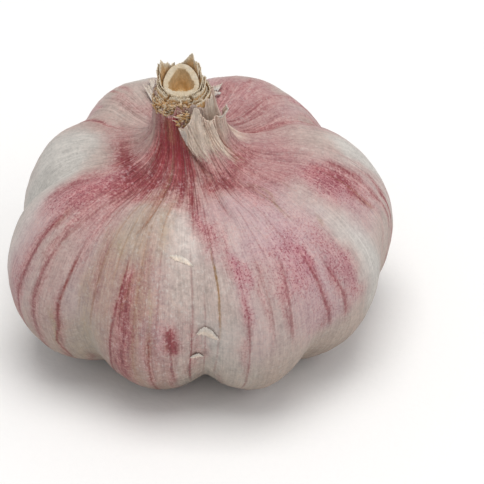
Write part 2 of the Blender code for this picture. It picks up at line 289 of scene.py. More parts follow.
def outline_at(below):
    """Radius, height and valley depth at a distance below the rim, with the outline's two tangent parts.

    The outline is a Hermite curve through its points, parted by the distances between them.
    """
    points = np.array(OUTLINE)
    steps = np.hypot(*(points[1:, :2] - points[:-1, :2]).T)
    along = np.concatenate([[0.0], np.cumsum(steps)])
    slopes = np.empty_like(points)
    slopes[1:-1] = (points[2:] - points[:-2]) / (along[2:] - along[:-2])[:, None]
    slopes[0] = (points[1] - points[0]) / (along[1] - along[0])
    slopes[-1] = (points[-1] - points[-2]) / (along[-1] - along[-2])
    place = np.clip(along[-1] - below, 0, along[-1])
    first = np.clip(np.searchsorted(along, place, side="right") - 1, 0, len(points) - 2)
    span = (along[first + 1] - along[first])[..., None]
    u = (place - along[first])[..., None] / span
    here, there = points[first], points[first + 1]
    out, into = slopes[first] * span, slopes[first + 1] * span
    value = (2 * u**3 - 3 * u**2 + 1) * here + (u**3 - 2 * u**2 + u) * out
    value += (3 * u**2 - 2 * u**3) * there + (u**3 - u**2) * into
    slope = (6 * u**2 - 6 * u) * (here - there) + (3 * u**2 - 4 * u + 1) * out + (3 * u**2 - 2 * u) * into
    length = np.hypot(slope[..., 0], slope[..., 1])
    return value, slope[..., 0] / length, slope[..., 1] / length


def clove_at(azimuth):
    """How full the bulb is at an azimuth, 1 over a clove and 0 between two, then reach, rise, bridging.

    Each clove is a parabola over its azimuth, and a soft maximum joins them.
    """
    cloves = np.array(CLOVES, float)
    away = (np.degrees(azimuth)[..., None] - cloves[:, 0] + 180) % 360 - 180
    height = np.exp(CLOVE_ROUNDNESS * (1 - (away / cloves[:, 1]) ** 2))
    total = height.sum(axis=-1)
    weight = height / total[..., None]
    reach, rise, bridged = ((weight * cloves[:, k]).sum(axis=-1) for k in (2, 3, 4))
    return np.log(total) / CLOVE_ROUNDNESS, reach, rise, bridged


def neck_axis(height):
    """The middle of the neck at a height, which leans to the left as it rises."""
    return AXIS_X + LEAN_X * smooth_step(height, LEAN_FROM, LEAN_TO), AXIS_Y


def round_axis(reach, azimuth, height, centre_x=AXIS_X):
    """Points at a reach and an azimuth round an upright axis, at a height."""
    x = centre_x + reach * np.cos(azimuth)
    y = AXIS_Y + reach * np.sin(azimuth)
    return np.stack(np.broadcast_arrays(x, y, height), axis=-1)


def skin_point(azimuth, below, lift=0.0):
    """A point on the skin at an azimuth and a distance below the rim, lifted along the outline's normal.

    Valleys between cloves sink by the outline's third value, and cosine folds run down from the neck.
    """
    azimuth, below = np.broadcast_arrays(np.asarray(azimuth, float), np.asarray(below, float))
    value, along_radius, along_height = outline_at(below)
    radius, height, valley = value[..., 0], value[..., 1], value[..., 2]
    full, reach, rise, bridged = clove_at(azimuth)
    valley = valley * (1 - bridged * smooth_step(height, BRIDGED_FROM, BRIDGED_FULLY))
    eased = 1 - 0.5 * smooth_step(height, FOLDS_EASE, NECK_TOP)
    folded = smooth_step(height, FOLDS_FROM, FOLDS_FULL) * eased
    off = valley * (full - 1) + FOLD_HEIGHT * ripple(azimuth, FOLDS) * folded + lift
    outer = smooth_step(radius, PLATE_RADIUS, SHOULDER_RADIUS)
    wide = 1 + (reach - 1) * np.clip((radius - PLATE_RADIUS) / SHOULDER_RADIUS, 0, 1)
    tall = 1 + (rise - 1) * outer * np.clip(height / SHOULDER_HEIGHT, 0, 1)
    across = radius * wide + along_height * off
    up = height * tall - along_radius * off
    up = np.where(radius > FOOT_RADIUS, np.maximum(up, 0.0), up)
    return round_axis(across, azimuth, up, neck_axis(up)[0])


def neck_ring(azimuth, outside, height):
    """Points round the stalk's axis, outside the stalk by a distance, at a height.

    The stalk's radius swells three times round it, once at the back, and a little at the front and back.
    """
    corners = 1 + STALK_CORNERS * np.cos(3 * (azimuth - TAU / 4))
    radius = STALK_RADIUS * corners * (1 + STALK_DEEPER * np.sin(azimuth) ** 2) + outside
    return round_axis(radius, azimuth, height, neck_axis(height)[0])


def fibres(azimuth, below, fewest, most, length, draw, count=36):
    """Lengthwise fibres of about -1 to 1: cosines round the axis with whole numbers of waves.

    Each swells and fades along the skin over about a length in mm, from a seeded phase.
    """
    field = np.zeros(np.broadcast(azimuth, below).shape)
    for _ in range(count):
        waves = draw.integers(fewest, most)
        turn, start = draw.uniform(0, TAU, 2)
        swell = np.cos(TAU * below / (length * draw.uniform(0.6, 1.6)) + start)
        field += swell * np.cos(waves * azimuth + turn)
    return field / math.sqrt(count)


def ragged(azimuth, fewest, most, draw):
    """A ragged line round the axis, of about -1 to 1: fibres with no change along the skin."""
    return fibres(azimuth, 0 * azimuth, fewest, most, 9.0, draw)


def dents(points, size, draw, count=30):
    """Soft unevenness of about -1 to 1: cosines of plane waves about a size in mm long, seeded."""
    field = np.zeros(points.shape[:-1])
    for _ in range(count):
        direction = draw.normal(size=3)
        direction *= TAU / (size * draw.uniform(0.7, 1.5) * np.linalg.norm(direction))
        field += np.cos(points @ direction + draw.uniform(0, TAU))
    return field / math.sqrt(count)


def from_path(azimuth, below, path):
    """Degrees past a path of azimuths and distances below the rim, and where it starts and ends."""
    at, down = np.array(path, float).T
    away = (np.degrees(azimuth) - np.interp(below, down, at) + 180) % 360 - 180
    return away, down[0], down[-1]


def mark(azimuth, below, strength, half_width, *path):
    """A mark along a path of azimuth in degrees and distance below the rim in mm.

    It is strongest on the path, falls off to both sides as a bell, and rounds off beyond both ends.
    """
    away, start, end = from_path(azimuth, below, path)
    ease = np.clip(0.35 * (end - start), np.clip(0.09 * half_width, 0.7, 2.4), 3.5)
    beyond = np.maximum(np.maximum(start - below, below - end) + 0.5 * ease, 0) / ease
    return strength * np.exp(-np.abs(away / half_width) ** 2.2 - beyond**2)


def stain(azimuth, below, marks):
    """Several marks as one mask from 0 to 1, where each mark covers a share of what is left."""
    bare = 1.0
    for one in marks:
        bare = bare * (1 - mark(azimuth, below, *one))
    return 1 - bare


# Creases that run down from the neck into the valleys: depth in mm, half width, path
CREASES = [
    (0.35, 1.1, (250, 13), (249.7, 17), (249.4, 20), (247.5, 23), (245, 25)),
    (0.3, 0.9, (270, 9), (270, 20)), (0.22, 0.8, (261, 10), (261, 16)),
    (0.25, 1, (232, 8), (231, 13), (229, 19)), (0.3, 1.2, (222, 8), (219, 14), (215, 20)),
    (0.22, 1, (286, 12), (289, 20)), (0.22, 1, (296, 12), (301, 22)), (0.2, 0.9, (310, 13), (314, 23)),
    (0.18, 0.8, (346, 12), (349.4, 24)), (0.18, 0.8, (352, 12), (354, 24)),
    (0.25, 1.2, (200, 9), (195, 16)), (0.25, 1.4, (150, 8), (146, 18)), (0.25, 1.4, (88, 8), (89, 20)),
    (0.22, 1.4, (33, 9), (32, 19)), (0.12, 0.7, (226, 28), (224.4, 40), (223, 50), (222, 58)),
    (0.12, 0.7, (276.3, 22), (276.2, 33), (275.3, 40)),
    (0.08, 0.6, (267.5, 28), (266.6, 42), (265.8, 56)),
]
# A torn inner edge of one skin over the next: height in mm, spread in degrees, path
LAYER_EDGES = [
    (0.16, 7, (276.6, 25), (276.4, 33), (275.6, 40)), (-0.12, 8, (226.4, 30), (224.6, 40), (223.4, 52)),
    (0.1, 9, (328, 26), (326, 36), (324, 44)), (-0.12, 9, (199, 23), (200, 34), (203, 44)),
]
# The neck is slimmer on its left, and the rim torn lower in front: depth in mm, half width, path
NECK_HOLLOW = (0.75, 48, (195, -9), (195, 30))
RIM_DIP = (1.2, 26, (238, -9), (238, 30))
# Crumpled skin on a front clove: strength, half width, path
CRUMPLED = (1.0, 9.0, (262, 19), (263, 30))
# Pleats, ribs and threads: the fewest and the most round the bulb, and their length in mm
PLEATS = (24, 60, 70.0)
RIBS = (70, 150, 40.0)
THREADS = (150, 260, 26.0)
PLEAT_SEED = 11
# Dents and crumples: size in mm
LUMP = 11.0
CRINKLE = 3.2
CRUMPLE = 2.4


def layer_edge(azimuth, below, height, spread, *path):
    """A step at a path that dies away over a spread of degrees beyond it."""
    away, start, end = from_path(azimuth, below, path)
    ends = smooth_step(below, start - 3, start + 3) * (1 - smooth_step(below, end - 3, end + 3))
    side = away * np.sign(height)
    step = smooth_step(side, -0.3, 0.3) * (1 - smooth_step(side, 0.4 * spread, spread))
    return np.abs(height) * ends * step


def relief(azimuth, below):
    """How far the skin stands out from its smooth form, in mm.

    Sharp pleats are strongest at the neck, finer ribs run all the way, and soft dents lie in between.
    """
    draw = np.random.default_rng(PLEAT_SEED)
    near_neck = 1 - smooth_step(below, 6.0, 26.0)
    near_root = smooth_step(below, 56.0, 74.0)
    pleats = 0.5 - np.abs(fibres(azimuth, below, *PLEATS, draw))
    ribs = 0.5 - np.abs(fibres(azimuth, below, *RIBS, draw))
    threads = fibres(azimuth, below, *THREADS, draw)
    form = skin_point(azimuth, below)
    lumps = dents(form, LUMP, draw)
    crinkles = dents(form, CRINKLE, draw)
    height = pleats * (0.05 + 0.28 * near_neck + 0.10 * near_root)
    height += ribs * (0.045 + 0.08 * near_neck)
    height += threads * (0.012 + 0.006 * near_neck)
    height += (0.12 * lumps + 0.028 * crinkles) * smooth_step(below, 4.0, 24.0)
    height += 0.07 * mark(azimuth, below, *CRUMPLED) * np.abs(dents(form, CRUMPLE, draw))
    for one in CREASES:
        height -= mark(azimuth, below, *one)
    for one in LAYER_EDGES:
        height += layer_edge(azimuth, below, *one)
    height -= mark(azimuth, below, *NECK_HOLLOW) * (1 - smooth_step(below, 6.0, 13.0))
    return height * (1 - 0.7 * smooth_step(below, 70.0, 78.0))


def skinned(rings, first_pole=None, last_pole=None):
    """Points and faces of a skin over rings of equal length, closed to a point where it has a pole."""
    rows, columns = rings.shape[:2]
    index = np.arange(rows * columns).reshape(rows, columns)
    beside = np.roll(index, -1, axis=1)
    faces = np.stack([index[:-1], beside[:-1], beside[1:], index[1:]], axis=-1).reshape(-1, 4).tolist()
    points = rings.reshape(-1, 3)
    if first_pole is not None:
        faces += np.stack([np.full(columns, len(points)), beside[0], index[0]], axis=-1).tolist()
        points = np.concatenate([points, [first_pole]])
    if last_pole is not None:
        faces += np.stack([np.full(columns, len(points)), index[-1], beside[-1]], axis=-1).tolist()
        points = np.concatenate([points, [last_pole]])
    return points, faces


def make_piece(name, points, faces, finish):
    """A smooth mesh object from points in mm and faces."""
    mesh = bpy.data.meshes.new(name)
    mesh.from_pydata((points * MM).tolist(), [], faces)
    mesh.polygons.foreach_set("use_smooth", np.ones(len(faces), bool))
    mesh.materials.append(finish)
    piece = bpy.data.objects.new(name, mesh)
    bpy.context.scene.collection.objects.link(piece)
    return piece


def paint(piece, **layers):
    """Stores values for a piece's points under names, for its material: one number or three for each.

    A piece closed by poles has a few points more than its grid, and they get the last value.
    """
    for name, values in layers.items():
        vectors = values.shape[-1] == 3 and values.ndim > 1
        flat = values.reshape(-1, 3) if vectors else values.reshape(-1, 1)
        missing = len(piece.data.vertices) - len(flat)
        flat = np.concatenate([flat, np.repeat(flat[-1:], missing, axis=0)]).astype(np.float32)
        layer = piece.data.attributes.new(name, "FLOAT_VECTOR" if vectors else "FLOAT", "POINT")
        layer.data.foreach_set("vector" if vectors else "value", flat.ravel())


# Marks on the skin: strength, half width in degrees, then a path of azimuth and distance below the rim
WHITE_MARKS = [
    (0.25, 2.2, (251.5, 40), (251, 56)), (0.5, 1.8, (263.5, 46), (263, 60)),
    (0.95, 15, (180, 22), (181, 44)), (0.75, 9, (168, 19), (168, 32)), (0.55, 5, (197, 27), (200, 44)),
    (0.95, 6.5, (333, 33), (332, 48)), (0.55, 4, (326, 26), (328, 33)), (0.9, 9, (368, 28), (368, 42)),
    (0.6, 1.1, (312.5, 35), (313.5, 40)), (0.68, 7, (234, 37), (233, 54)),
    # The mark from (264, 21) to (267, 28) is whitish film painted lighter as a painted highlight
    (0.75, 5, (273, 41), (273.5, 62)), (0.6, 5, (264, 21), (267, 28)), (0.3, 3, (279, 38), (279, 58)),
    (0.6, 9, (268, 53), (268, 62)), (0.5, 5, (284, 46), (284, 60)), (0.45, 8, (223, 48), (222, 60)),
    (0.8, 14, (60, 30), (61, 48)), (0.8, 15, (112, 27), (111, 46)), (0.45, 30, (300, 62), (300, 74)),
    (0.45, 30, (215, 62), (215, 74)), (0.45, 40, (90, 60), (90, 74)),
]
ROSE_MARKS = [
    (0.45, 1.8, (257.5, 40), (257, 60)), (0.35, 1.6, (270, 44), (269.5, 60)),
    (0.42, 2.3, (239, 30), (237, 56)), (0.9, 16, (212, 15), (212, 25)), (0.65, 24, (171, 3), (171, 10)),
    (0.75, 22, (205, 0), (205, 12)), (0.5, 20, (166, 12.5), (168, 17.5)),
    (0.55, 22, (346, 1), (346, 9)), (0.95, 34, (352, 9), (352, 19)), (0.9, 20, (316, 11), (318, 20)),
    (0.6, 16, (287, 12), (287, 22)), (0.7, 10, (347, 21), (347, 33)), (0.28, 12, (310, 28), (312, 42)),
    (0.45, 6, (233, 20), (236, 40)), (0.5, 4.5, (210, 28), (207, 50)),
    (0.78, 5.5, (247, 31), (245, 58)), (0.5, 5, (181, 46), (181, 54)), (0.35, 6, (222, 26), (221, 52)),
    (0.35, 9, (258, 38), (258, 54)), (0.55, 5, (254, 30), (252, 48)), (0.4, 7, (228, 16), (224, 24)),
    (0.9, 30, (58, 6), (58, 24)), (0.62, 26, (122, 6), (120, 15)), (0.5, 8, (88, 22), (88, 50)),
    (0.5, 8, (142, 29), (142, 50)), (0.5, 8, (30, 20), (30, 50)),
]
LILAC_MARKS = [
    (0.8, 24, (302, 18), (302, 28)), (0.75, 13, (308, 26), (310, 44)), (0.6, 8, (204, 27), (206, 46)),
    (0.45, 6, (285, 30), (287, 46)), (0.5, 12, (345, 24), (347, 36)), (0.4, 4, (257, 30), (257, 44)),
    (0.35, 5, (229, 26), (230, 44)), (0.55, 14, (88, 18), (88, 52)), (0.45, 10, (140, 28), (140, 50)),
    (0.45, 12, (30, 24), (30, 52)),
]
WINE_MARKS = [
    (0.97, 23, (252, 1.5), (253, 10)), (0.8, 15, (246, 2), (246, 5), (247, 9)),
    (0.55, 9, (268, 3), (268, 8)), (0.52, 15, (219, 2), (220, 8)), (0.74, 19, (248, 10), (247, 14)),
    (0.46, 20, (246, 14), (244, 19)), (0.3, 12, (329, 14), (331, 20)), (0.45, 9, (297, 9), (299, 14)),
    (0.26, 8, (309, 15), (311, 21)), (0.9, 6, (257, 5), (257, 14)), (0.7, 13, (227, 5), (223, 11)),
    (0.75, 2.4, (234.5, 6), (234.5, 16)), (0.75, 3, (228, 7), (230, 14)),
    (0.75, 4, (269, 8), (269, 18)), (0.6, 9, (283, 7), (287, 14)), (0.45, 9, (301, 11), (303, 15)),
    (0.35, 14, (325, 11), (327, 14)), (0.84, 27, (206, 13), (206, 16)),
    (0.54, 22, (184, 12.4), (187, 15.6)), (0.58, 9, (222, 12), (220, 19)),
    (0.52, 10, (213, 17), (213, 26)), (0.5, 5, (200, 20), (201, 27)), (0.3, 6, (336, 6), (345, 13)),
    (0.35, 30, (315, 11.4), (315, 13)), (0.35, 5, (233, 14), (233, 20)),
    (0.55, 3.5, (275, 16), (275, 25)), (0.45, 3, (248, 12), (248, 17)),
    (0.5, 2.5, (261, 12), (261, 18)), (0.35, 7, (311, 13), (312, 18)), (0.35, 12, (346, 11), (346, 14)),
    (0.55, 6, (342, 22.5), (343, 28)), (0.65, 3.5, (348, 23.5), (348, 31)),
    (0.5, 1.2, (347.5, 28), (348, 35)), (0.45, 2.5, (354, 25), (354, 30)),
    (0.5, 2, (212, 27), (209, 50)), (0.45, 1.6, (217, 27), (216.5, 52)),
    (0.62, 2, (245.2, 32), (245.2, 37)), (0.66, 3.6, (246.5, 37), (245, 54)),
    (0.92, 2.3, (260.2, 40.5), (260.2, 45.5)), (0.4, 1.6, (260.6, 49), (260.8, 56)),
    (0.5, 1.3, (254.2, 43), (253.7, 56)), (0.4, 1.1, (224.2, 40), (223, 58)),
    (0.45, 1.4, (309.5, 32), (311, 43)), (0.45, 1.4, (316, 36), (318, 44)),
    (0.4, 1.4, (298, 30), (297, 42)), (0.3, 1.5, (281.5, 24), (280, 30)),
    (0.35, 1.2, (291, 30), (291, 42)), (0.32, 1.3, (283.6, 36), (283.4, 50)),
    (0.32, 2, (227, 20), (226, 32)), (0.28, 1.5, (236, 28), (235, 40)), (0.3, 3, (206, 40), (204, 52)),
    (0.28, 2, (267.5, 40), (266, 52)), (0.25, 3, (252, 26), (251, 34)),
]
MAGENTA_MARKS = [
    (0.95, 2.4, (283.3, 27), (283.6, 32)), (0.75, 2, (286.8, 28.5), (287.4, 33.5)),
    (0.62, 1.8, (284.5, 33), (284.6, 38)), (0.66, 5.5, (304, 28.5), (304, 35)),
    (0.75, 2, (308.5, 29.5), (308.9, 35)), (0.52, 4.5, (318.5, 29), (318.5, 37)),
    (0.66, 2.8, (322, 35), (322, 42)), (0.28, 5, (294, 26), (296, 36)), (0.45, 8, (341, 21), (342, 30)),
    (0.35, 5, (276, 20), (276, 27)), (0.38, 9, (208, 18), (208, 27)), (0.22, 10, (311, 22), (312, 29)),
    (0.22, 8, (308, 36), (308, 44)),
]
TAN_MARKS = [
    (0.55, 1.8, (249.6, 34), (249, 54)), (0.4, 2.2, (232, 34), (231, 50)),
    (0.28, 7, (247, 16), (243, 30)), (0.5, 2, (257.5, 17), (257, 26)),
    (0.5, 1, (250.6, 27), (250.6, 33)), (0.8, 0.8, (241.3, 28), (241.3, 30)),
    (0.55, 0.9, (314, 16.5), (314, 24)), (0.6, 0.9, (323.7, 27.4), (323.7, 29)),
    (0.6, 1.6, (321, 11.4), (321, 12.8)), (0.7, 0.8, (212.5, 27.8), (212.5, 29.6)),
    (0.85, 1.1, (222.4, 43.4), (222.3, 48.6)), (0.7, 0.7, (347.7, 32), (347.7, 34.5)),
    (0.8, 1, (254.4, 42.6), (254.4, 46.6)), (0.4, 7, (238, 26), (236, 46)),
    (0.35, 8, (251, 24), (253, 38)), (0.3, 9, (230, 44), (229, 56)),
    (0.5, 0.7, (253.5, 30), (253.8, 42)), (0.4, 3, (30, 26), (30, 36)), (0.5, 1, (96, 20), (97, 34)),
]
# Brown dry skin that shows at the neck, with painted shadow beside the torn strip and in the gaps at
# the front of the rim, and cream older skin round it
BROWN_AND_SHADE_MARKS = [
    (0.8, 9, (243, 2.8), (246, 6)), (0.9, 9, (275, -1), (276, 2.2)),
    (0.75, 6, (263, 4), (278, 7.5), (291, 10.5)), (0.5, 2.2, (250, 9), (247, 23)),
]
CREAM_MARKS = [
    (0.42, 17, (198, -1), (190, 9)), (0.95, 36, (330, -1), (333, 7)), (0.75, 16, (372, -1), (374, 11)),
    (0.25, 14, (184, -1), (184, 1)), (0.5, 40, (90, -1), (90, 3)),
]
# Where the neck's colours and painted light fade out below the rim, and where the lower skin turns tan and
# darker, the darkening being painted shade
NECK_FADES = (7, 24)
LOW_SHADE_STARTS = (39, 58)
# The silky front clove, whose paler film also carries painted sheen: strength, half width, path
SILVER_MARK = (1.0, 13.0, (263, 19), (263, 54))
# Fine lines: 0 for wine red to 1 for tan, strength, half width in degrees, path
LINES = [
    (0, 0.75, 0.6, (213, 27), (211.3, 36), (210, 43.7), (209, 49), (208, 58)),
    (0, 0.55, 0.6, (220, 27), (216.9, 36), (216.9, 43.7), (215.6, 53), (214, 62)),
    (0.1, 0.9, 0.5, (226, 31), (224.4, 40.5), (224.7, 45), (222.5, 50), (223.4, 54.6), (221.6, 60)),
    (0, 0.9, 0.55, (245.3, 30), (243.7, 36), (242.5, 40.5), (241.5, 46.8), (240, 52.4), (239, 60)),
    (0.2, 0.9, 0.42, (254.3, 42), (254, 48.7), (253.7, 54.3), (253.4, 62)),
    (0, 0.6, 0.42, (261, 43), (260.5, 49), (260.8, 55)),
    (0, 0.9, 0.36, (266.9, 40.5), (266.5, 46), (265.9, 50), (265.6, 57)),
    (0, 0.35, 0.4, (267.8, 27), (267, 41)),
    (1, 1, 0.4, (276.4, 26), (276.2, 33), (275.6, 36), (275.3, 40)),
    (0.1, 0.4, 0.32, (275, 40), (274.4, 48), (273.7, 54)), (0, 0.55, 0.5, (276.5, 18), (276.6, 26)),
    (0, 0.6, 0.32, (283.8, 35), (283.7, 47), (283.1, 57)), (0.1, 0.4, 0.38, (291.2, 29), (291, 41)),
    (0, 0.6, 0.6, (299.4, 31), (297.2, 36), (296.9, 43)),
    (0, 0.8, 0.5, (308.8, 31), (309.7, 36), (310.6, 40), (312.5, 45)),
    (0, 0.7, 0.55, (314.4, 34), (316.2, 38.4), (317.5, 40.6), (317.8, 45)),
    (0.6, 0.8, 0.65, (250.6, 11), (249.9, 15), (249.4, 20), (247.5, 23), (245, 25)),
    (0, 0.9, 0.6, (270, 7), (270, 22)), (0, 0.75, 0.6, (261, 8), (261, 17)),
    (0, 0.7, 0.7, (232, 6), (231, 15)), (0, 0.6, 0.7, (238, 5), (238.4, 15)),
    (0, 0.6, 0.6, (265.5, 8), (266, 17)), (0, 0.6, 0.6, (278, 9), (280, 17)),
    (0, 0.5, 0.6, (286, 10), (289, 20)), (0, 0.5, 0.6, (296, 12), (300, 22)),
    (0, 0.45, 0.7, (222, 9), (219, 17)), (0.7, 0.55, 0.45, (257.6, 18), (256, 26)),
    (0.9, 0.5, 0.38, (314, 17), (314.3, 24)), (0.5, 0.6, 0.38, (347.6, 26), (347.8, 35)),
    (0.3, 0.55, 0.5, (179, 44), (181, 54)),
    (0.7, 0.45, 0.45, (240.5, 16), (237, 24), (235, 34), (234, 44)),
    (0.9, 0.4, 0.4, (245.5, 15), (242.5, 24), (240.5, 34)),
    (0.8, 0.4, 0.4, (252.5, 16), (250.5, 26), (249.5, 38), (249, 52)),
    (0.1, 0.4, 0.45, (234.5, 14), (230, 24), (228, 34)),
    (0.1, 0.35, 0.4, (257, 26), (256.4, 38), (256, 50)),
    (0.2, 0.4, 0.45, (227.5, 14), (222, 22), (219.5, 30)),
    (0, 0.35, 0.35, (271.2, 34), (270.8, 46), (270.2, 56)), (0.1, 0.35, 0.35, (304.5, 20), (306, 30)),
    (0, 0.35, 0.35, (294.5, 20), (295, 30)),
]
# Drifts of the marks: size of the unevenness, and how far it moves them, both in mm
MARK_DRIFTS = [(9.0, 0.60), (2.4, 0.18)]


def seeded_marks(draw, count, sides, down, lengths, widths, strengths):
    """Marks at seeded places between two azimuths and two distances below the rim, a little aslant."""
    marks = []
    for _ in range(count):
        at, start, length = draw.uniform(*sides), draw.uniform(*down), draw.uniform(*lengths)
        bend = draw.uniform(-2.5, 2.5)
        width, strength = draw.uniform(*widths), draw.uniform(*strengths)
        marks.append((strength, width, (at, start), (at + bend, start + length)))
    return marks


def nearest_line(azimuth, below, lines):
    """The nearest fine line to each point: how many half widths away, its strength and how tan it is."""
    nearest = np.full(np.broadcast(azimuth, below).shape, 20.0)
    strong, tan = np.zeros_like(nearest), np.zeros_like(nearest)
    for tan_share, strength, half_width, *path in lines:
        away, start, end = from_path(azimuth, below, path)
        away = np.clip(away / half_width, -20, 20)
        ends = smooth_step(below, start - 2, start + 2) * (1 - smooth_step(below, end - 3, end + 3))
        closer = (np.abs(away) < np.abs(nearest)) & (ends > 0)
        nearest = np.where(closer, away, nearest)
        strong = np.where(closer, strength * ends * np.exp(-((away / 2.5) ** 2)), strong)
        tan = np.where(closer, tan_share, tan)
    return nearest, strong, tan


# Seeded marks and lines: how many, azimuths, distances below the rim, lengths, half widths, strengths
draw = np.random.default_rng(23)
side_draw = np.random.default_rng(29)
BACK = (18, 158)
wine_marks = WINE_MARKS + seeded_marks(draw, 26, BACK, (18, 44), (7, 22), (0.6, 2.0), (0.25, 0.75))
wine_marks += seeded_marks(draw, 10, BACK, (9, 15), (4, 9), (3.0, 9.0), (0.2, 0.5))
wine_marks += seeded_marks(draw, 40, (160, 380), (54, 64), (5, 14), (0.5, 1.4), (0.15, 0.5))
wine_marks += seeded_marks(side_draw, 16, (345, 380), (24, 46), (8, 18), (0.5, 1.5), (0.2, 0.5))
magenta_marks = MAGENTA_MARKS + seeded_marks(draw, 9, BACK, (24, 36), (3, 8), (1.0, 3.5), (0.3, 0.7))
tan_marks = TAN_MARKS + seeded_marks(draw, 14, BACK, (16, 50), (2, 9), (0.6, 1.6), (0.2, 0.6))
back_lines = seeded_marks(draw, 22, BACK, (22, 44), (8, 24), (0.3, 0.6), (0.4, 0.9))
lines = LINES + [(draw.choice([0.0, 0.0, 0.0, 0.8]), *one) for one in back_lines]
for tan_share, seeds in (
    (0.0, (12, (14, 72), (7, 12), (8, 14), (0.45, 0.8), (0.4, 0.7))),
    (0.9, (22, (226, 262), (16, 44), (0.6, 2.6), (0.3, 0.6), (0.3, 0.7))),
    (0.8, (12, (290, 345), (9, 26), (0.4, 1.6), (0.3, 0.5), (0.3, 0.7))),
):
    lines += [(tan_share, *one) for one in seeded_marks(side_draw, *seeds)]


def paint_skin(piece, azimuth, below, cream, rib, earth):
    """Paints a papery piece with the marks at its points' azimuth and distance below the rim.

    The marks drift by soft unevenness, so their outlines are irregular. The grain is a place on a
    cylinder with its length shrunk, so that noise read there runs lengthwise and meets itself.
    """
    azimuth, below = np.broadcast_arrays(azimuth, below)
    draw = np.random.default_rng(19)
    form = skin_point(azimuth, np.maximum(below, 0))
    reach = np.hypot(form[..., 0] - AXIS_X, form[..., 1] - AXIS_Y)
    at, down = azimuth, below
    for size, drift in MARK_DRIFTS:
        at = at + drift * dents(form, size, draw) / np.maximum(reach, 6.0)
        down = down + drift * 1.3 * dents(form, size, draw) * smooth_step(below, 1.0, 9.0)
    line_side, line_ink, line_tan = nearest_line(azimuth, below, lines)
    grain = [FIBRES_ROUND * np.cos(azimuth), FIBRES_ROUND * np.sin(azimuth), below / FIBRE_LENGTH]
    paint(
        piece,
        grain=np.stack(grain, axis=-1),
        white=stain(at, down, WHITE_MARKS),
        rose=stain(at, down, ROSE_MARKS),
        lilac=stain(at, down, LILAC_MARKS),
        wine=stain(at, down, wine_marks),
        magenta=stain(at, down, magenta_marks),
        tan=stain(at, down, tan_marks),
        silver=mark(at, down, *SILVER_MARK),
        earth=earth + np.zeros_like(azimuth),
        line_side=line_side,
        line_ink=line_ink,
        line_tan=line_tan,
        cream=cream + np.zeros_like(azimuth),
        rib=rib + np.zeros_like(azimuth),
        neck=1 - smooth_step(below, *NECK_FADES),
        # low: tan and darker toward the root, the darkening being painted shade
        low=smooth_step(below, *LOW_SHADE_STARTS),
    )


# Colours of the skin, its stains, specks and lines, and of the older cream skin and the painted shade in
# its grooves
PALE = (0.58, 0.465, 0.415, 1.0)
GREENISH = (0.67, 0.635, 0.59, 1.0)
ROSE = (0.53, 0.26, 0.265, 1.0)
LILAC = (0.67, 0.475, 0.495, 1.0)
SILVER = (0.60, 0.50, 0.455, 1.0)
WINE_WASH = (0.47, 0.155, 0.15, 1.0)
WINE = (0.25, 0.032, 0.038, 1.0)
MAGENTA = (0.54, 0.13, 0.19, 1.0)
SPECK = (0.29, 0.04, 0.068, 1.0)
TAN = (0.45, 0.34, 0.235, 1.0)
BROWN = (0.38, 0.21, 0.085, 1.0)
DARK_BROWN_AND_SHADE = (0.31, 0.145, 0.085, 1.0)
CREAM = (0.93, 0.79, 0.655, 1.0)
CREAM_GROOVE_SHADE = (0.60, 0.36, 0.27, 1.0)

skin_finish, tone = new_finish("papery_skin")
grain = tone.painted_vector("grain")
place = tone.place()
fibre = grain.noise(1.0, 4.0, 0.6)
thread = grain.noise(3.1, 3.0, 0.6)
speck = place.noise(2300.0, 2.0, 0.6)
mottle = place.noise(900.0, 3.0, 0.6)
blotch = place.noise(300.0, 4.0, 0.55)
dots = place.noise(3300.0, 1.0, 0.5).between(0.60, 0.93)
texture = fibre * 0.26 + speck * 0.36 + mottle * 0.20 + blotch * 0.18
white = (tone.painted("white") * 1.3 - texture * 0.3).clamped()
rose = (tone.painted("rose") * (1.5 - texture * 1.2)).clamped()
lilac = (tone.painted("lilac") * (1.4 - texture * 1.1)).clamped()
wine, magenta, cream, rib, silver, low = (
    tone.painted(name) for name in ("wine", "magenta", "cream", "rib", "silver", "low")
)
bare = 1 - cream.clamped()
neck = tone.painted("neck") * (0.3 + bare * 0.7)
# The neck's top, where painted light brightens the skin
upper_neck = neck.between(0.7, 1.0)
streaks = fibre * 0.42 + thread * 0.16 + mottle * 0.16 + speck * 0.26
ink = (wine * 1.5 - streaks * 0.9 - 0.12).between(0.0, 0.85)
line_away = abs(tone.painted("line_side")) + (texture - 0.5) * 1.5
line = (1 - line_away.between(0.0, 1.8)) * tone.painted("line_ink") * (0.65 + mottle * 0.5)
# Painted light and shade: cream is lighter on the crests of pleats and ribs and darker in the grooves
# between
cream_colour = rib.mixed(CREAM_GROOVE_SHADE, CREAM).toward(GREENISH, cream - 1)
dotted = (wine * 0.8 + magenta * 1.1 + rose * 0.22 + lilac * 0.10 + 0.05).clamped() * (1 - white * 0.7)
freckles = (speck * (0.45 + blotch * 0.55)).between(0.50, 0.80)
freckled = ((rose + lilac * 0.7 + 0.2) * (1 - white)).clamped()
flecks = (place.noise(1500.0, 3.0, 0.7) * 0.7 + thread * 0.3).between(0.60, 0.85)
pale_flecks = (mottle * 0.45 + speck * 0.55).between(0.55, 0.85)
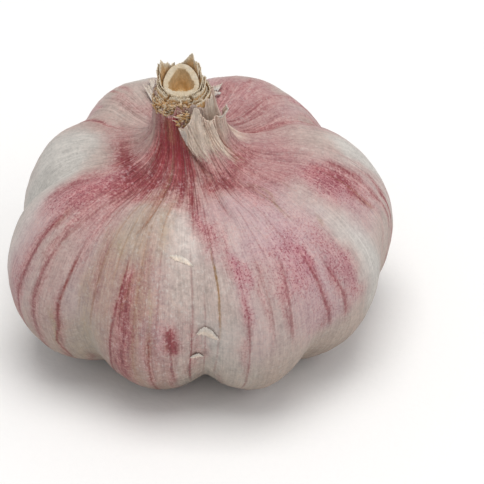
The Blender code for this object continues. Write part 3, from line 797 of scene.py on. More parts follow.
# The skin's colours from the lowest layer up: colour, and how much of it covers what lies below
layers = [
    # The silky film's own paler colour, partly a painted sheen
    (SILVER, silver * 0.5),
    (ROSE, rose),
    (LILAC, lilac),
    (TAN, low * (0.38 + texture * 0.20)),
    (TAN, tone.painted("tan") * (0.45 + texture * 1.1)),
    (WINE_WASH, wine * (1.3 - streaks * 0.7)),
    (WINE, ink * (0.24 + wine * 0.68)),
    (MAGENTA, (magenta * (1.15 - texture * 0.8)).clamped() * 0.85),
    (tone.painted("line_tan").mixed(WINE, BROWN), line),
    # Brown neck skin, with painted shade in gaps, down the inside of the rim and in the torn strip's
    # grooves
    (DARK_BROWN_AND_SHADE, tone.painted("earth") * (0.65 + fibre * 0.45)),
    (cream_colour, cream * 1.3 - fibre * 0.3),
    (SPECK, dots * dotted * bare * 0.8),
    (WINE_WASH, freckles * freckled * bare * 0.35),
    # Pale flecks, more on the silky film, partly as painted sheen
    (GREENISH, flecks * (0.26 + silver * 0.20) * (1 - wine * 0.75)),
    (LILAC, pale_flecks * wine * (1 - upper_neck) * 0.38),
]
colour = white.mixed(PALE, GREENISH)
for layer, cover in layers:
    colour = colour.toward(layer, cover)
brightness = 0.54 + fibre * (0.14 + neck * 0.16 + wine * 0.20)
brightness += thread * (0.10 + neck * 0.15 + wine * 0.12) + speck * 0.15
# On the silky film the mottle is stronger: painted light and shade of its crinkles
brightness += mottle * (0.10 + silver * 0.14) + blotch * 0.10
# Painted light: the neck's top is painted lighter, most where it is wine red. Painted shade darkens the
# lower skin (low).
brightness += upper_neck * (wine * 0.60 + 0.07) - wine * 0.15 - low * 0.17
colour = colour.scaled(brightness)
height = fibre * 0.35 + thread * (0.2 + neck * 0.2) + speck * 0.15 + mottle * 0.25
tone.finish(colour, 0.56 - silver * 0.08 + texture * 0.12, height, 0.15 * MM, Specular_IOR_Level=0.42)

below_neck = np.linspace(0, NECK_ROWS_TO, NECK_ROWS, endpoint=False)
outline_length = np.hypot(*np.diff(np.array(OUTLINE)[:, :2], axis=0).T).sum()
below_body = np.linspace(NECK_ROWS_TO, outline_length, BODY_ROWS)
below_rows = np.concatenate([below_neck, below_body])[::-1, None]
around = np.linspace(0, TAU, SKIN_COLUMNS, endpoint=False)[None, :]
skin_rings = skin_point(around, below_rows, relief(around, below_rows))
draw = np.random.default_rng(5)
frayed = RIM_TOOTH * ripple(around, RIM_TEETH) + RIM_FRAY * ragged(around, 40, 160, draw)
near_rim = 1 - smooth_step(below_rows, 0.0, RIM_TORN_OVER)
skin_rings[..., 2] += near_rim * (frayed - mark(around, 0 * around, *RIM_DIP))
rim_height = skin_rings[-1, :, 2]
rim_reach = np.hypot(skin_rings[-1, :, 0] - neck_axis(rim_height)[0], skin_rings[-1, :, 1] - AXIS_Y)
inner_rings = []
for thick, drop in RIM_INSIDE:
    height = rim_height - drop
    inner_rings.append(round_axis(rim_reach - RIM_THICK * thick, around[0], height, neck_axis(height)[0]))
hollow_ring = neck_ring(around[0], NECK_GAP, np.full(SKIN_COLUMNS, NECK_FLOOR))
all_rings = np.concatenate([skin_rings, inner_rings, [hollow_ring]])
under_pole = (AXIS_X, AXIS_Y, OUTLINE[0][1])
floor_pole = (*neck_axis(NECK_FLOOR), NECK_FLOOR)
wrapped_skin = make_piece("wrapped_skin", *skinned(all_rings, under_pole, floor_pole), skin_finish)
inside_rows = np.linspace(0.0, -RIM_INSIDE_LONG, len(all_rings) - len(skin_rings))[:, None]
all_below = np.concatenate([below_rows, inside_rows])
pleat_draw = np.random.default_rng(PLEAT_SEED)
pleat = 1 - np.abs(fibres(around, all_below, *PLEATS, pleat_draw)) * 1.3
# Painted shade: dark brown down the inside of the rim, added to the brown neck skin and its painted shadows
earthy = np.maximum(stain(around, all_below, BROWN_AND_SHADE_MARKS), smooth_step(-all_below, 0.3, 1.3))
creamy = stain(around, all_below, CREAM_MARKS) * (1 - smooth_step(-all_below, 0.5, 1.5))
# Painted highlights: cream on the crests of the neck's pleats, which follow the pleats of the relief
creamy = np.maximum(creamy, 0.24 * np.clip(pleat, 0, 1) ** 3 * (1 - smooth_step(all_below, 9, 18)))
crests = np.clip(0.3 + 0.7 * pleat, 0, 1)
paint_skin(wrapped_skin, around, all_below, creamy, crests, earthy)
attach(wrapped_skin, "root")
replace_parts(wrapped_skin, "wrapped_bulb")

# The torn outermost skin.
# One more papery skin is peeled off all round but for this strip. It hangs from the neck down to the
# front right shoulder, cream and strongly ribbed, torn at its top and grown to the skin at its foot.
FLAP_TOP_SIDES = (264, 350)
FLAP_FOOT_SIDES = (300, 360)
FLAP_FOOT_BELOW = (15.0, 18.0)
FLAP_COLUMNS = 240
FLAP_ROWS = 120
FLAP_THICK = 0.15
FLAP_PEEL = 0.75
FLAP_GAP = 0.40
FLAP_FLARE = 0.45
# Distance of the torn top below the rim, by the share from the left side to the right
FLAP_TOP = [
    (0, 2.8), (0.09, 2.6), (0.18, 1.8), (0.25, 0.2), (0.29, -1.0), (0.35, -0.8), (0.41, 0.9),
    (0.50, 2.2), (0.58, 2.5), (0.67, 2.2), (0.77, 2.3), (0.86, 2.2), (0.93, 2.0), (1.0, 1.9),
]
FLAP_TEAR = 0.30
# Its left side is folded back over this share of the width
FLAP_FOLD = 0.09
FLAP_RIB = 0.22
FLAP_FINE_RIB = 0.05
FLAP_GROOVE = 0.24
# Two deep grooves, painted dark as painted shade: share from the left side, and half width
FLAP_GROOVES = [(0.60, 0.011), (0.66, 0.011)]
# How far the foot and the right side sink into the skin below, and the strip curled over at the top
FLAP_FOOT_SUNK = 0.25
FLAP_SIDE_SUNK = 0.40
FLAP_CURL = 0.60


def blend(pair, share):
    """From the first of two values at a share of 0 to the second at 1, in a straight line."""
    return pair[0] * (1 - share) + pair[1] * share


def thin_sheet(middle, thick):
    """The two faces of a thin sheet round a grid of points, set off by half its thickness along the normal.

    Its rows run down and its columns counterclockwise, so the cross product of the two points outward.
    """
    normal = np.cross(np.gradient(middle, axis=0), np.gradient(middle, axis=1))
    normal /= np.linalg.norm(normal, axis=-1, keepdims=True) + 1e-12
    half = 0.5 * np.asarray(thick)[..., None] * normal
    return middle - half, middle + half


def closed_sheet(under, over):
    """Points and faces of a thin body between two grids of points, closed all round its border."""
    rows, columns = under.shape[:2]
    index = np.arange(rows * columns).reshape(rows, columns)
    a, b, d, e = index[:-1, :-1], index[:-1, 1:], index[1:, :-1], index[1:, 1:]
    size = rows * columns
    inner = np.stack([a, b, e, d], axis=-1).reshape(-1, 4)
    outer = size + np.stack([a, d, e, b], axis=-1).reshape(-1, 4)
    border = np.concatenate([index[0], index[1:, -1], index[-1, -2::-1], index[-2:0:-1, 0]])
    after = np.roll(border, -1)
    rim = np.stack([size + border, size + after, after, border], axis=-1)
    points = np.concatenate([under.reshape(-1, 3), over.reshape(-1, 3)])
    return points, np.concatenate([inner, outer, rim]).tolist()


def both(values):
    """Values for a sheet's grid, the same on its under and its over face."""
    return np.stack([values, values])


def ribbed(side, fall, draw, fewest, most, count=14):
    """Lengthwise ribs across a strip, 0 in the grooves and 1 on the crests, which wander as they fall."""
    field = np.zeros(np.broadcast(side, fall).shape)
    for _ in range(count):
        waves, turn = draw.uniform(fewest, most), draw.uniform(0, TAU)
        field += np.cos(TAU * waves * side + turn + draw.uniform(-0.8, 0.8) * fall)
    return np.clip(1 - np.abs(field) / math.sqrt(count), 0, 1)


draw = np.random.default_rng(31)
column = np.linspace(0, 1, FLAP_COLUMNS)[None, :]
fall = np.linspace(0, 1, FLAP_ROWS)[:, None] ** 1.15
fold = FLAP_FOLD * (1 - smooth_step(fall, 0.04, 0.30)) + 1e-6
folded = np.clip((fold - column) / fold, 0, 1) * smooth_step(fold, 0.0, 0.02)
side = np.abs(column - fold) / (1 - fold)
flap_azimuth = np.radians(blend((blend(FLAP_TOP_SIDES, side), blend(FLAP_FOOT_SIDES, side)), fall))
highest = np.interp(side, *np.array(FLAP_TOP).T) + FLAP_TEAR * np.abs(ragged(TAU * column, 8, 40, draw))
flap_below = blend((highest, blend(FLAP_FOOT_BELOW, side)), fall)
ribs = ribbed(side, fall, draw, 5, 15)
fine_ribs = ribbed(side, fall, draw, 20, 38)
groove = sum(np.exp(-(((side - at) / wide) ** 2)) for at, wide in FLAP_GROOVES)
groove = groove * smooth_step(fall, 0.0, 0.1) * (1 - smooth_step(fall, 0.55, 0.9))
standing = 1 - smooth_step(fall, 0.32, 0.78)
rib_lift = FLAP_RIB * ribs + FLAP_FINE_RIB * fine_ribs - FLAP_GROOVE * groove
peeled = FLAP_PEEL * (1 - fall) ** 2.2 + FLAP_GAP * standing
flare = FLAP_FLARE * smooth_step(side, 0.5, 0.95) * (1 - smooth_step(fall, 0.0, 0.55))
turned_back = 0.42 * smooth_step(folded, 0.0, 0.35) + 0.30 * folded**2
sunk = FLAP_FOOT_SUNK * smooth_step(fall, 0.72, 0.9)
side_sunk = (smooth_step(side, 0.95, 1.0) + smooth_step(-side, -0.05, 0.0)) * smooth_step(fall, 0.4, 0.62)
curled = smooth_step(side, 0.66, 0.74) * (1 - smooth_step(fall, 0.0, 0.075))
lift = relief(flap_azimuth, flap_below) * (1 - 0.6 * standing) + peeled + flare
lift = lift + rib_lift * (0.12 + 0.88 * standing) + turned_back + FLAP_CURL * curled
lift = lift - sunk - FLAP_SIDE_SUNK * side_sunk + 0.05
flap_middle = skin_point(flap_azimuth, np.maximum(flap_below, 0), lift)
flap_middle[..., 2] += np.maximum(-flap_below, 0)
flap = make_piece("torn_ribbed_skin", *closed_sheet(*thin_sheet(flap_middle, FLAP_THICK)), skin_finish)
fading = fall + 0.10 - 0.22 * side + 0.20 * (0.5 - fine_ribs)
flap_cream = 1 - smooth_step(fading, 0.40, 0.68) + 0.5 * smooth_step(folded, 0.0, 0.2)
rosy_right = smooth_step(side, 0.60, 0.74) * (0.35 + 0.45 * smooth_step(fall, 0.20, 0.45))
flap_cream = flap_cream * (1 - rosy_right)
flap_cream = np.maximum(flap_cream, 1.6 * curled)
# flap_rib: lighter on the crests of the ribs and darker in the grooves, as painted light and shade
flap_rib = np.clip(0.40 + 0.50 * ribs + 0.20 * fine_ribs, 0, 1)
flap_rib = np.maximum(flap_rib, smooth_step(folded, 0.0, 0.1)) * (1 - np.clip(groove, 0, 1))
flap_cream = flap_cream * (1 - np.clip(groove, 0, 0.8))
# The two grooves are painted dark brown as painted shade
flap_earth = np.clip(groove, 0, 1) * 0.9
paint_skin(flap, both(flap_azimuth), both(flap_below), both(flap_cream), both(flap_rib), both(flap_earth))
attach(flap, "root")
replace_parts(flap, "torn_outer_skin")

# Scraps and slivers of torn white skin.
# They are what is left of an older skin: stiff white strips on the shoulder behind the neck, and small
# curled slivers that still cling to the front clove, torn on all sides.
BIT_THICK = 0.11
BIT_COLUMNS = 30
BIT_ROWS = 30
BIT_RIB = 0.06
BIT_CREST = 0.9
# How white the bits are at their top, and how much less at their foot
SCRAP_WHITE = (2.1, 0.8)
SLIVER_WHITE = (1.8, 1.2)
# Bits: azimuths of the sides at top and foot, distances below the rim, teeth, curl, gap and bow in mm
LEFT_BITS = [
    ((107.2, 110.0), (105.4, 108.4), (16.4, 16.0), (22.0, 21.2), 0.30, 0.4, 0.30, 0.0),
    ((110.6, 113.4), (109.2, 111.8), (16.0, 16.6), (21.5, 21.9), 0.30, 0.3, 0.50, 0.0),
    ((113.8, 115.6), (112.6, 114.6), (16.9, 16.5), (20.0, 20.6), 0.25, 0.5, 0.30, 0.0),
    ((116.0, 118.0), (115.2, 116.8), (16.3, 15.8), (19.0, 20.1), 0.30, 0.6, 0.45, 0.0),
]
RIGHT_BITS = [
    ((68.5, 81.5), (73, 80), (17.6, 16.6), (18.0, 17.9), 0.20, 0.3, 0.45, 0.0),
    ((72, 80.5), (70, 77), (18.6, 19.2), (19.9, 19.4), 0.26, 0.3, 0.35, 0.0),
]
FRONT_BITS = [
    ((268.2, 275.0), (268.4, 274.8), (41.2, 41.6), (41.4, 41.8), 0.16, -0.40, 0.32, 1.7),
    ((266.2, 270.6), (266.4, 270.4), (46.8, 47.4), (47.0, 47.6), 0.14, -0.36, 0.30, 1.3),
    ((260.0, 268.8), (260.4, 268.4), (28.0, 29.2), (28.2, 29.4), 0.14, -0.28, 0.20, 0.9),
]


def joined(sheets):
    """One mesh from several closed sheets, with their paint in the same order."""
    points, faces, paints = [], [], {}
    start = 0
    for (under, over), layers in sheets:
        some, around_it = closed_sheet(under, over)
        points.append(some)
        faces += (np.array(around_it) + start).tolist()
        start += len(some)
        for name, values in layers.items():
            width = 3 if name == "grain" else 1
            paints.setdefault(name, []).append(values.reshape(-1, width))
    return np.concatenate(points), faces, {name: np.concatenate(parts) for name, parts in paints.items()}


def torn_bits(name, bits, white, fading, draw):
    """One piece from several small torn bits of skin, which lie a gap over the skin and curl off it.

    Each bit is a grid between its sides, top and foot. Its ends get seeded teeth, and its top a bow.
    """
    side = np.linspace(0, 1, BIT_COLUMNS)[None, :]
    fall = np.linspace(0, 1, BIT_ROWS)[:, None]
    off_middle = 2 * side - 1
    sheets = []
    for top_sides, foot_sides, top_below, foot_below, teeth, curled, gap, bow in bits:
        azimuth = np.radians(blend((blend(top_sides, side), blend(foot_sides, side)), fall))
        highest = blend(top_below, side) + teeth * ragged(TAU * side, 2, 12, draw)
        highest = highest - bow * (1 - off_middle**2)
        lowest = blend(foot_below, side) + teeth * ragged(TAU * side, 2, 12, draw)
        below = blend((highest, lowest), fall)
        lift = relief(azimuth, below) + gap + curled * (0.8 * fall**2 + 0.5 * off_middle**4)
        lift = lift + BIT_RIB * ribbed(side, fall, draw, 2, 5)
        faces = thin_sheet(skin_point(azimuth, below, lift), BIT_THICK)
        whiter = both(white - fading * fall + 0 * azimuth)
        sheets.append((faces, {"azimuth": both(azimuth), "below": both(below), "white": whiter}))
    points, faces, layers = joined(sheets)
    piece = make_piece(name, points, faces, skin_finish)
    azimuth, below, cream = (layers[part].ravel() for part in ("azimuth", "below", "white"))
    paint_skin(piece, azimuth, below, cream, rib=BIT_CREST, earth=0.0)
    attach(piece, "root")
    return piece


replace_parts(torn_bits("white_scrap_left", LEFT_BITS, *SCRAP_WHITE, draw), "skin_scrap_left")
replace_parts(torn_bits("white_scrap_right", RIGHT_BITS, *SCRAP_WHITE, draw), "skin_scrap_right")
torn_bits("white_skin_slivers", FRONT_BITS, *SLIVER_WHITE, draw)

# Dry leaf bases and the inner skins of the neck.
# The leaves' lower ends wrap the stalk and were torn off short when the bulb was trimmed. They are dry,
# straw coloured and fibrous and grown together further down, with painted shade where they lie deep.
# Heights over the neck's top where the leaves' own heights start, and where they begin to lean out
LEAF_BASE_FROM = 0.6
LEAF_LEAN_FROM = 1.4
LEAF_THICK = 0.13
LEAF_COLUMNS = 96
LEAF_ROWS = 40
LEAF_FOOT = 42.6
LEAF_WAVE = 0.07
LEAF_RIB = 0.05
LEAF_TEAR = 0.30
LEAF_FINE_TEAR = 0.14
# Leaf bases: piece, node, first and last azimuth, lean outward, heights over the neck from side to side
LEAF_BASES = [
    ("dry_leaf_back_right", "leaf_base_back_right", 22, 98, 0.10, (1.6, 3.2, 3.7, 3.2, 4.8, 4, 3, 2.4, 2)),
    ("dry_leaf_back_left", "leaf_base_back_left", 106, 172, 0.16, (2.6, 2.2, 3.1, 3.2, 3.6, 4.5, 3.9, 3.3)),
    ("dry_leaf_left", "leaf_base_left", 180, 232, 0.24, (2.6, 1.8, 1.3, 1.5, 0.8)),
    ("dry_leaf_front", "leaf_base_front", 240, 292, 0.30, (0.6, 0.9, 0.4, 0.8, 0.6)),
    ("dry_leaf_right", "leaf_base_right", 300, 374, 0.26, (0.9, 1.2, 1.1, 1.6, 2.3, 1.9)),
]
# The plies of one leaf base: distance outside the stalk, and height against the leaf's own
LEAF_PLIES = [(0.26, 1.0), (0.56, 0.72), (0.84, 0.82)]
# Inner skins between the leaf bases and the outer skin: azimuths, outside the stalk, height, lean
NECK_SKINS = [
    (286, 392, 1.06, 0.9, 0.10),
    (292, 398, 1.34, 0.3, 0.16),
    (300, 404, 1.66, 0.8, 0.22),
    (20, 120, 1.20, 1.2, 0.10),
    (40, 150, 1.60, 0.6, 0.15),
    (128, 222, 0.98, 1.0, 0.12),
    (146, 236, 1.08, 0.4, 0.16),
    (226, 290, 1.20, -0.2, 0.30),
    (236, 282, 1.50, -0.7, 0.34),
]
NECK_SKIN_TEAR = 0.45
NECK_SKIN_BOW = 0.6

leaf_finish, tone = new_finish("dry_leaf")
LEAF_STRAW = (0.72, 0.47, 0.22, 1.0)
LEAF_PALE = (0.97, 0.86, 0.68, 1.0)
LEAF_GOLD = (0.74, 0.38, 0.11, 1.0)
LEAF_GAP_SHADE = (0.13, 0.05, 0.02, 1.0)
grain = tone.painted_vector("grain")
fibre = grain.noise(1.0, 4.0, 0.65)
thread = grain.noise(2.7, 3.0, 0.6)
speck = tone.place().noise(2500.0, 2.0)
torn = tone.painted("torn")
# Painted shade: darker further below the torn top, most on the faces toward the stalk
deep = (torn + fibre * 1.2 - 0.6).between(0.9, 2.6)
colour = (fibre * 0.6).mixed(LEAF_STRAW, LEAF_PALE)
colour = colour.toward(LEAF_PALE, (1 - torn.between(0.05, 0.50)) * 0.75)
colour = colour.toward(LEAF_GOLD, (torn.between(0.10, 1.0) * (thread * 1.5 + 0.10)).clamped() * 0.85)
colour = colour.toward(LEAF_GAP_SHADE, deep * (0.20 + tone.painted("inner") * 0.70))
colour = colour.scaled(0.60 + speck * 0.26 + thread * 0.26)
tone.finish(colour, 0.7 + speck * 0.1, fibre * 0.5 + thread * 0.5, 0.08 * MM)


def leaf_sheet(first, last, outside, top, lean, draw):
    """A thin strip of leaf round the stalk from its torn top to its foot, as its two faces and its paint.

    It follows the stalk's ring at a distance, leans outward above the neck, and waves as dry leaf does.
    """
    azimuth = np.radians(np.linspace(first, last, LEAF_COLUMNS))[None, :]
    fall = np.linspace(0, 1, LEAF_ROWS)[:, None] ** 1.3
    height = blend((top, LEAF_FOOT), fall)
    leaning = lean * np.maximum(height - NECK_TOP - LEAF_LEAN_FROM, 0)
    free = smooth_step(height, NECK_TOP - 1.5, NECK_TOP + 1.5)
    waves = ragged(azimuth, 5, 15, draw) * LEAF_WAVE * free
    ribs = LEAF_RIB * fibres(azimuth, 3 * fall, 40, 110, 9.0, draw)
    middle = neck_ring(azimuth + 0 * height, outside + leaning + waves + ribs, height)
    torn = (top - height) / (0.6 + 0.35 * np.maximum(top - NECK_TOP, 0.5))
    grain = np.stack([40 * np.cos(azimuth) + 0 * torn, 40 * np.sin(azimuth) + 0 * torn, torn / 3], axis=-1)
    # inner: the face toward the stalk, which takes more of the painted shade
    inner = np.stack([np.ones_like(torn), np.zeros_like(torn)])
    return thin_sheet(middle, LEAF_THICK), {"grain": both(grain), "torn": both(torn), "inner": inner}


def leaf_piece(name, sheets):
    """One piece from several strips of leaf, with their paint."""
    points, faces, layers = joined(sheets)
    piece = make_piece(name, points, faces, leaf_finish)
    paint(piece, **layers)
    return piece


draw = np.random.default_rng(43)
for name, node, first, last, lean, heights in LEAF_BASES:
    azimuth = np.radians(np.linspace(first, last, LEAF_COLUMNS))
    across = np.linspace(0, 1, LEAF_COLUMNS)
    sheets = []
    for outside, share in LEAF_PLIES:
        shift = draw.uniform(-0.06, 0.06)
        rise = np.interp(across + shift, np.linspace(0, 1, len(heights)), heights) * share
        tears = LEAF_TEAR * np.abs(ragged(azimuth, 12, 50, draw))
        tears += LEAF_FINE_TEAR * np.abs(ragged(azimuth, 60, 160, draw))
        top = NECK_TOP + LEAF_BASE_FROM + rise - tears
        sheets.append(leaf_sheet(first, last, outside, top, lean, draw))
    leaf = leaf_piece(name, sheets)
    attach(leaf, "root")
    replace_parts(leaf, node)

sheets = []
for first, last, outside, above, lean in NECK_SKINS:
    azimuth = np.radians(np.linspace(first, last, LEAF_COLUMNS))
    across = np.linspace(-1, 1, LEAF_COLUMNS)
    tears = NECK_SKIN_TEAR * np.abs(ragged(azimuth, 10, 80, draw))
    top = NECK_TOP + above - NECK_SKIN_BOW * across**2 - tears
    sheets.append(leaf_sheet(first, last, outside, top, lean, draw))
neck_skins = leaf_piece("neck_inner_skins", sheets)
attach(neck_skins, "root")

# The cut flower stalk.
# It grew up through the middle of the bulb and was cut on the slant when dry: a hard cream ring of
# fibres round a hollow of tan pith, three cornered where the leaves pressed on it.
STALK_TOP = 47.6
STALK_WALL = 0.92
HOLLOW_CORNERS = 0.15
STALK_EDGE = 0.22
CUT_SLOPE = 0.40
PITH_DEPTH = 3.2
PITH_TAPER = 0.35
PITH_BOWL = 0.25
STALK_FOOT = 42.0
STALK_COLUMNS = 200

stalk_finish, tone = new_finish("cut_stalk")
STALK_SIDE = (0.58, 0.41, 0.22, 1.0)
STALK_CUT = (0.62, 0.49, 0.32, 1.0)
STALK_CUT_PALE = (0.68, 0.61, 0.49, 1.0)
PITH = (0.92, 0.68, 0.37, 1.0)
PITH_DARK = (0.66, 0.41, 0.16, 1.0)
place = tone.place()
grain = tone.painted_vector("grain")
fibre = grain.noise(1.0, 3.0, 0.6)
pores = place.noise(3200.0, 2.0)
patch = place.noise(700.0, 3.0)
colour = fibre.mixed(STALK_SIDE, STALK_CUT)
colour = colour.toward(STALK_CUT_PALE, tone.painted("cut") * (0.45 + patch * 0.5))
colour = colour.toward(patch.mixed(PITH_DARK, PITH), tone.painted("pith"))
colour = colour.scaled(0.82 + pores * 0.18)
tone.finish(colour, 0.75 + pores * 0.1, pores * 0.5 + fibre * 0.4, 0.08 * MM)

flat = np.linspace(0, TAU, STALK_COLUMNS, endpoint=False)
draw = np.random.default_rng(57)
edge_noise = 0.015 * ragged(flat, 3, 14, draw)
inner_noise = 0.075 * ragged(flat, 3, 30, draw) - HOLLOW_CORNERS * np.cos(3 * (flat - TAU / 4))
side_ribs = 0.035 * ragged(flat, 20, 60, draw)
rings, cut_mask, pith_mask = [], [], []


def add_stalk_ring(outside, height, is_cut, is_pith):
    """Adds one ring of the stalk's profile, with how much of it is cut face and how much pith."""
    rings.append(neck_ring(flat, outside, height))
    cut_mask.append(np.full(STALK_COLUMNS, is_cut))
    pith_mask.append(np.full(STALK_COLUMNS, is_pith))


def cut_at(outside):
    """Height of the slanted cut at a distance outside the stalk's own surface."""
    return STALK_TOP + CUT_SLOPE * (STALK_RADIUS + outside) * np.sin(flat)


# Up the side, over the rounded edge, across the cut, down the pith, and in to its middle
for rise in np.linspace(0, 1, 20):
    height = blend((STALK_FOOT, cut_at(0.0) - STALK_EDGE), rise)
    add_stalk_ring(side_ribs * (1 - 0.6 * rise), height, 0.0, 0.0)
for turn in np.linspace(0.25, 1, 4) * TAU / 4:
    edge = STALK_EDGE * (1 - np.cos(turn))
    height = cut_at(-edge) - STALK_EDGE * (1 - np.sin(turn))
    add_stalk_ring(side_ribs * 0.4 - edge + edge_noise, height, np.sin(turn), 0.0)
for across in np.linspace(0.15, 1, 10):
    outside = -STALK_EDGE - (STALK_WALL - STALK_EDGE + inner_noise) * across
    rough = 0.05 * fibres(flat, 3 * across, 10, 50, 9.0, draw) - 0.12 * across**3
    add_stalk_ring(outside, cut_at(outside) + rough, 1.0, 0.25 * across**3)
for drop in np.linspace(0.1, 1, 12):
    outside = -STALK_WALL - inner_noise * (1 - 0.4 * drop) - PITH_TAPER * drop**1.5
    rough = 0.05 * fibres(flat, 3 * drop, 8, 40, 9.0, draw)
    height = blend((cut_at(outside), STALK_TOP - PITH_DEPTH), drop)
    add_stalk_ring(outside + rough * 0.5, height - 0.1, 0.4 * (1 - drop), 0.4 + 0.6 * drop)
for inward in np.linspace(0.2, 0.95, 8):
    outside = blend((-STALK_WALL - PITH_TAPER, -0.97 * STALK_RADIUS), inward)
    rough = 0.10 * fibres(flat, 3 * inward, 4, 20, 9.0, draw) * (1 - inward)
    add_stalk_ring(outside, STALK_TOP - PITH_DEPTH - PITH_BOWL * inward + rough, 0.0, 1.0)
rings = np.array(rings)
low_pole = (*neck_axis(STALK_FOOT), STALK_FOOT)
pith_pole = (*neck_axis(STALK_TOP), STALK_TOP - PITH_DEPTH - 1.12 * PITH_BOWL)
stalk = make_piece("slant_cut_stalk", *skinned(rings, low_pole, pith_pole), stalk_finish)
paint(stalk, grain=rings * (8, 8, 1), cut=np.array(cut_mask), pith=np.array(pith_mask))
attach(stalk, "root")
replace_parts(stalk, "cut_stalk")

# Frayed fibres round the stalk.
# Where the leaves were torn off, their hard fibres and crumbs of skin stand up between the plies,
# thickest in front and to the left.
FRAYS = 560
FRAYS_IN_FRONT = 60
FRAYS_ON_RIM = 170
# The three groups: between which azimuths, distances outside the stalk, and depths below the rim. For
# those between the plies, the first pair is the middle azimuth and the spread
FRONT_SIDES = (262, 288)
FRONT_OUTSIDE = (2.0, 2.9)
FRONT_BELOW = (0.8, 3.2)
RIM_SIDES = (200, 268)
RIM_OUTSIDE = (1.2, 2.0)
RIM_BELOW = (0.2, 2.3)
PLY_SIDES = (240, 36)
PLY_OUTSIDE = (0.35, 1.7)
PLY_BELOW = (0.4, 1.8)
FRAY_SIDES = 6
FRAY_POINTS = 9
FRAY_LENGTH = (0.4, 1.4)
FRAY_BROAD = (0.05, 0.20)
FRAY_THICK = (0.03, 0.07)
# The share of crumbs among them, and factors on length and breadth for a crumb and for a fibre
CRUMBS = 0.45
CRUMB_LENGTH = (0.55, 0.9)
CRUMB_BROAD = (2.3, 1.2)


def tubes(paths, wide, thick, sides):
    """Closed flat tubes along many paths at once, capped at both ends.

    Each ring is an ellipse square to its path's direction, with a half width and a half thickness.
    """
    count, rows = paths.shape[:2]
    along = np.gradient(paths, axis=1)
    along /= np.linalg.norm(along, axis=-1, keepdims=True)
    outward = paths[:, :1] - (neck_axis(NECK_TOP)[0], AXIS_Y, 0)
    across = np.cross(along, outward * (1, 1, 0) + (0.02, 0.01, 0.0))
    across /= np.linalg.norm(across, axis=-1, keepdims=True)
    other = np.cross(along, across)
    turn = np.linspace(0, TAU, sides, endpoint=False)[None, None, :, None]
    ring = np.cos(turn) * wide[..., None, None] * across[:, :, None]
    ring = ring + np.sin(turn) * thick[..., None, None] * other[:, :, None]
    points = paths[:, :, None] + ring
    index = np.arange(count * rows * sides).reshape(count, rows, sides)
    beside = np.roll(index, -1, axis=2)
    quads = np.stack([index[:, :-1], beside[:, :-1], beside[:, 1:], index[:, 1:]], axis=-1)
    faces = quads.reshape(-1, 4).tolist() + index[:, 0, ::-1].tolist() + index[:, -1].tolist()
    return points.reshape(-1, 3), faces


draw = np.random.default_rng(61)
number = np.arange(FRAYS)
in_front = number < FRAYS_IN_FRONT
on_rim = (number >= FRAYS_IN_FRONT) & (number < FRAYS_IN_FRONT + FRAYS_ON_RIM)
start = np.where(in_front, draw.uniform(*FRONT_SIDES, FRAYS), draw.normal(*PLY_SIDES, FRAYS))
start = np.radians(np.where(on_rim, draw.uniform(*RIM_SIDES, FRAYS), start))
outside = np.where(in_front, draw.uniform(*FRONT_OUTSIDE, FRAYS), draw.uniform(*PLY_OUTSIDE, FRAYS))
outside = np.where(on_rim, draw.uniform(*RIM_OUTSIDE, FRAYS), outside)
foot = NECK_TOP - draw.uniform(*PLY_BELOW, FRAYS) + 0.45 * (2.0 - outside)
foot = np.where(in_front, NECK_TOP - draw.uniform(*FRONT_BELOW, FRAYS), foot)
foot = np.where(on_rim, NECK_TOP - draw.uniform(*RIM_BELOW, FRAYS), foot)
crumb = draw.random(FRAYS) < CRUMBS
length = draw.uniform(*FRAY_LENGTH, FRAYS) * np.where(crumb, *CRUMB_LENGTH)
outward = draw.uniform(-0.3, 0.7, FRAYS)
sideways = draw.normal(0, 0.7, FRAYS)
rise = np.linspace(0, 1, FRAY_POINTS)[None, :]
bend = draw.normal(0, 0.5, FRAYS)[:, None]
curl = draw.uniform(0.0, 0.25, FRAYS)[:, None]
reach = np.maximum(outside[:, None] + (outward * length)[:, None] * rise**1.6, 0.2)
height = foot[:, None] + length[:, None] * (rise - curl * rise**2.5)
azimuth = start[:, None] + (sideways * length / 4.5)[:, None] * rise + bend * 0.14 * rise**2
paths = neck_ring(azimuth, reach, height)
broad = draw.uniform(*FRAY_BROAD, FRAYS) * np.where(crumb, *CRUMB_BROAD)
wide = broad[:, None] * (1 - 0.7 * rise**2)
thick = draw.uniform(*FRAY_THICK, FRAYS)[:, None] * (1 - 0.5 * rise**2)
frays = make_piece("frayed_fibres", *tubes(paths, wide, thick, FRAY_SIDES), leaf_finish)
# torn and inner set how much painted shade darkens each fibre toward its foot
torn = draw.uniform(0.2, 2.6, FRAYS)[:, None] * (1 - rise)
torn = np.repeat(torn[:, :, None], FRAY_SIDES, axis=2)
inner = draw.uniform(0.0, 0.9, FRAYS)[:, None, None] + 0 * torn
paint(frays, grain=np.repeat(paths[:, :, None] * 6, FRAY_SIDES, axis=2), torn=torn, inner=inner)
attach(frays, "root")

# The root plate and its roots.
# The corky disc that cloves and stalk grow from sits in the hollow under the bulb. Its dry roots were
# trimmed to stubs, and finer rootlets stand between them.
PLATE_WIDE = 7.9
PLATE_LUMPS = [(7, 0.18, 0.0), (13, 0.12, 1.0)]
PLATE_ROUGH = 0.06
PLATE_TOP = 4.0
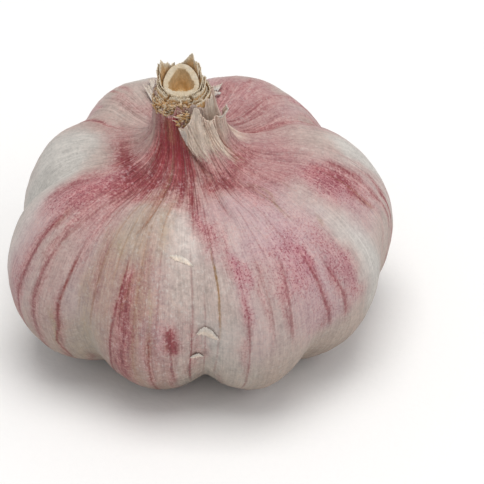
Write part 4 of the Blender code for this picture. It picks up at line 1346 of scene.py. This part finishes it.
# Outline of the plate from its middle underneath to its middle on top: share of its width, height
PLATE_PROFILE = [
    (0.0, 2.30), (0.30, 2.35), (0.55, 2.50), (0.80, 2.62), (0.92, 2.80), (0.98, 3.10),
    (1.0, 3.50), (0.985, 3.90), (0.96, 4.25), (0.60, 4.25), (0.0, 4.25),
]
PLATE_COLUMNS = 160
ROOTS = 34
ROOT_TURN = math.radians(137.5)
ROOT_RING = 6.8
ROOT_HIGH = 3.6
ROOT_LOW = (0.4, 1.1)
ROOT_SPLAY = (0.05, 0.22)
ROOT_RADIUS = 0.52
ROOT_TIP_RADIUS = 0.34
# Fine roots: how many, how thick against the others, and how much shorter at most in mm
FINE_ROOTS = 110
FINE_ROOT = 0.5
FINE_ROOT_SHORTER = 0.9
ROOT_SIDES = 9
ROOT_POINTS = 8

root_finish, tone = new_finish("corky_root")
CORK = (0.36, 0.24, 0.13, 1.0)
CORK_PALE = (0.56, 0.44, 0.29, 1.0)
CORK_DARK = (0.16, 0.09, 0.045, 1.0)
place = tone.place()
patch = place.noise(420.0, 4.0, 0.6)
speck = place.noise(2400.0, 2.0)
colour = patch.mixed(CORK, CORK_PALE)
colour = colour.toward(CORK_DARK, speck * 1.2 - 0.65)
tone.finish(colour, 0.85 - speck * 0.08, patch * 0.6 + speck * 0.4, 0.12 * MM)

around_plate = np.linspace(0, TAU, PLATE_COLUMNS, endpoint=False)
draw = np.random.default_rng(71)
rings = []
for share, height in PLATE_PROFILE[1:-1]:
    reach = share * (PLATE_WIDE + ripple(around_plate, PLATE_LUMPS))
    rough = PLATE_ROUGH * fibres(around_plate, 9 * share, 9, 44, 9.0, draw) * (height < PLATE_TOP)
    rings.append(round_axis(reach, around_plate, height + rough))
poles = [(AXIS_X, AXIS_Y, height) for _, height in (PLATE_PROFILE[0], PLATE_PROFILE[-1])]
plate = make_piece("corky_root_plate", *skinned(np.array(rings), *poles), root_finish)
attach(plate, "root")
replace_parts(plate, "root_plate")

count = ROOTS + FINE_ROOTS
number = np.arange(count)
main = number < ROOTS
spiral = np.where(main, number, number - ROOTS + 0.37)
share = np.where(main, (number + 0.6) / ROOTS, (number - ROOTS + 0.5) / FINE_ROOTS)
reach = ROOT_RING * np.sqrt(share)
low = draw.uniform(*ROOT_LOW, count) + np.where(main, 0, draw.uniform(0.0, FINE_ROOT_SHORTER, count))
splay = draw.uniform(*ROOT_SPLAY, count)
turned = spiral * ROOT_TURN
drop = np.linspace(0, 1, ROOT_POINTS)[None, :]
away = reach[:, None] * (1 + splay[:, None] * (reach / ROOT_RING)[:, None] * drop**1.5)
twist = turned[:, None] + draw.normal(0, 0.05, count)[:, None] * drop**2
root_paths = round_axis(away, twist, blend((ROOT_HIGH, low[:, None]), drop))
thick = blend((ROOT_RADIUS, ROOT_TIP_RADIUS), drop) * np.where(main, 1.0, FINE_ROOT)[:, None]
thick *= 1 + 0.12 * np.cos(9 * drop + turned[:, None])
roots = make_piece("trimmed_roots", *tubes(root_paths, thick, thick, ROOT_SIDES), root_finish)
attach(roots, "root")
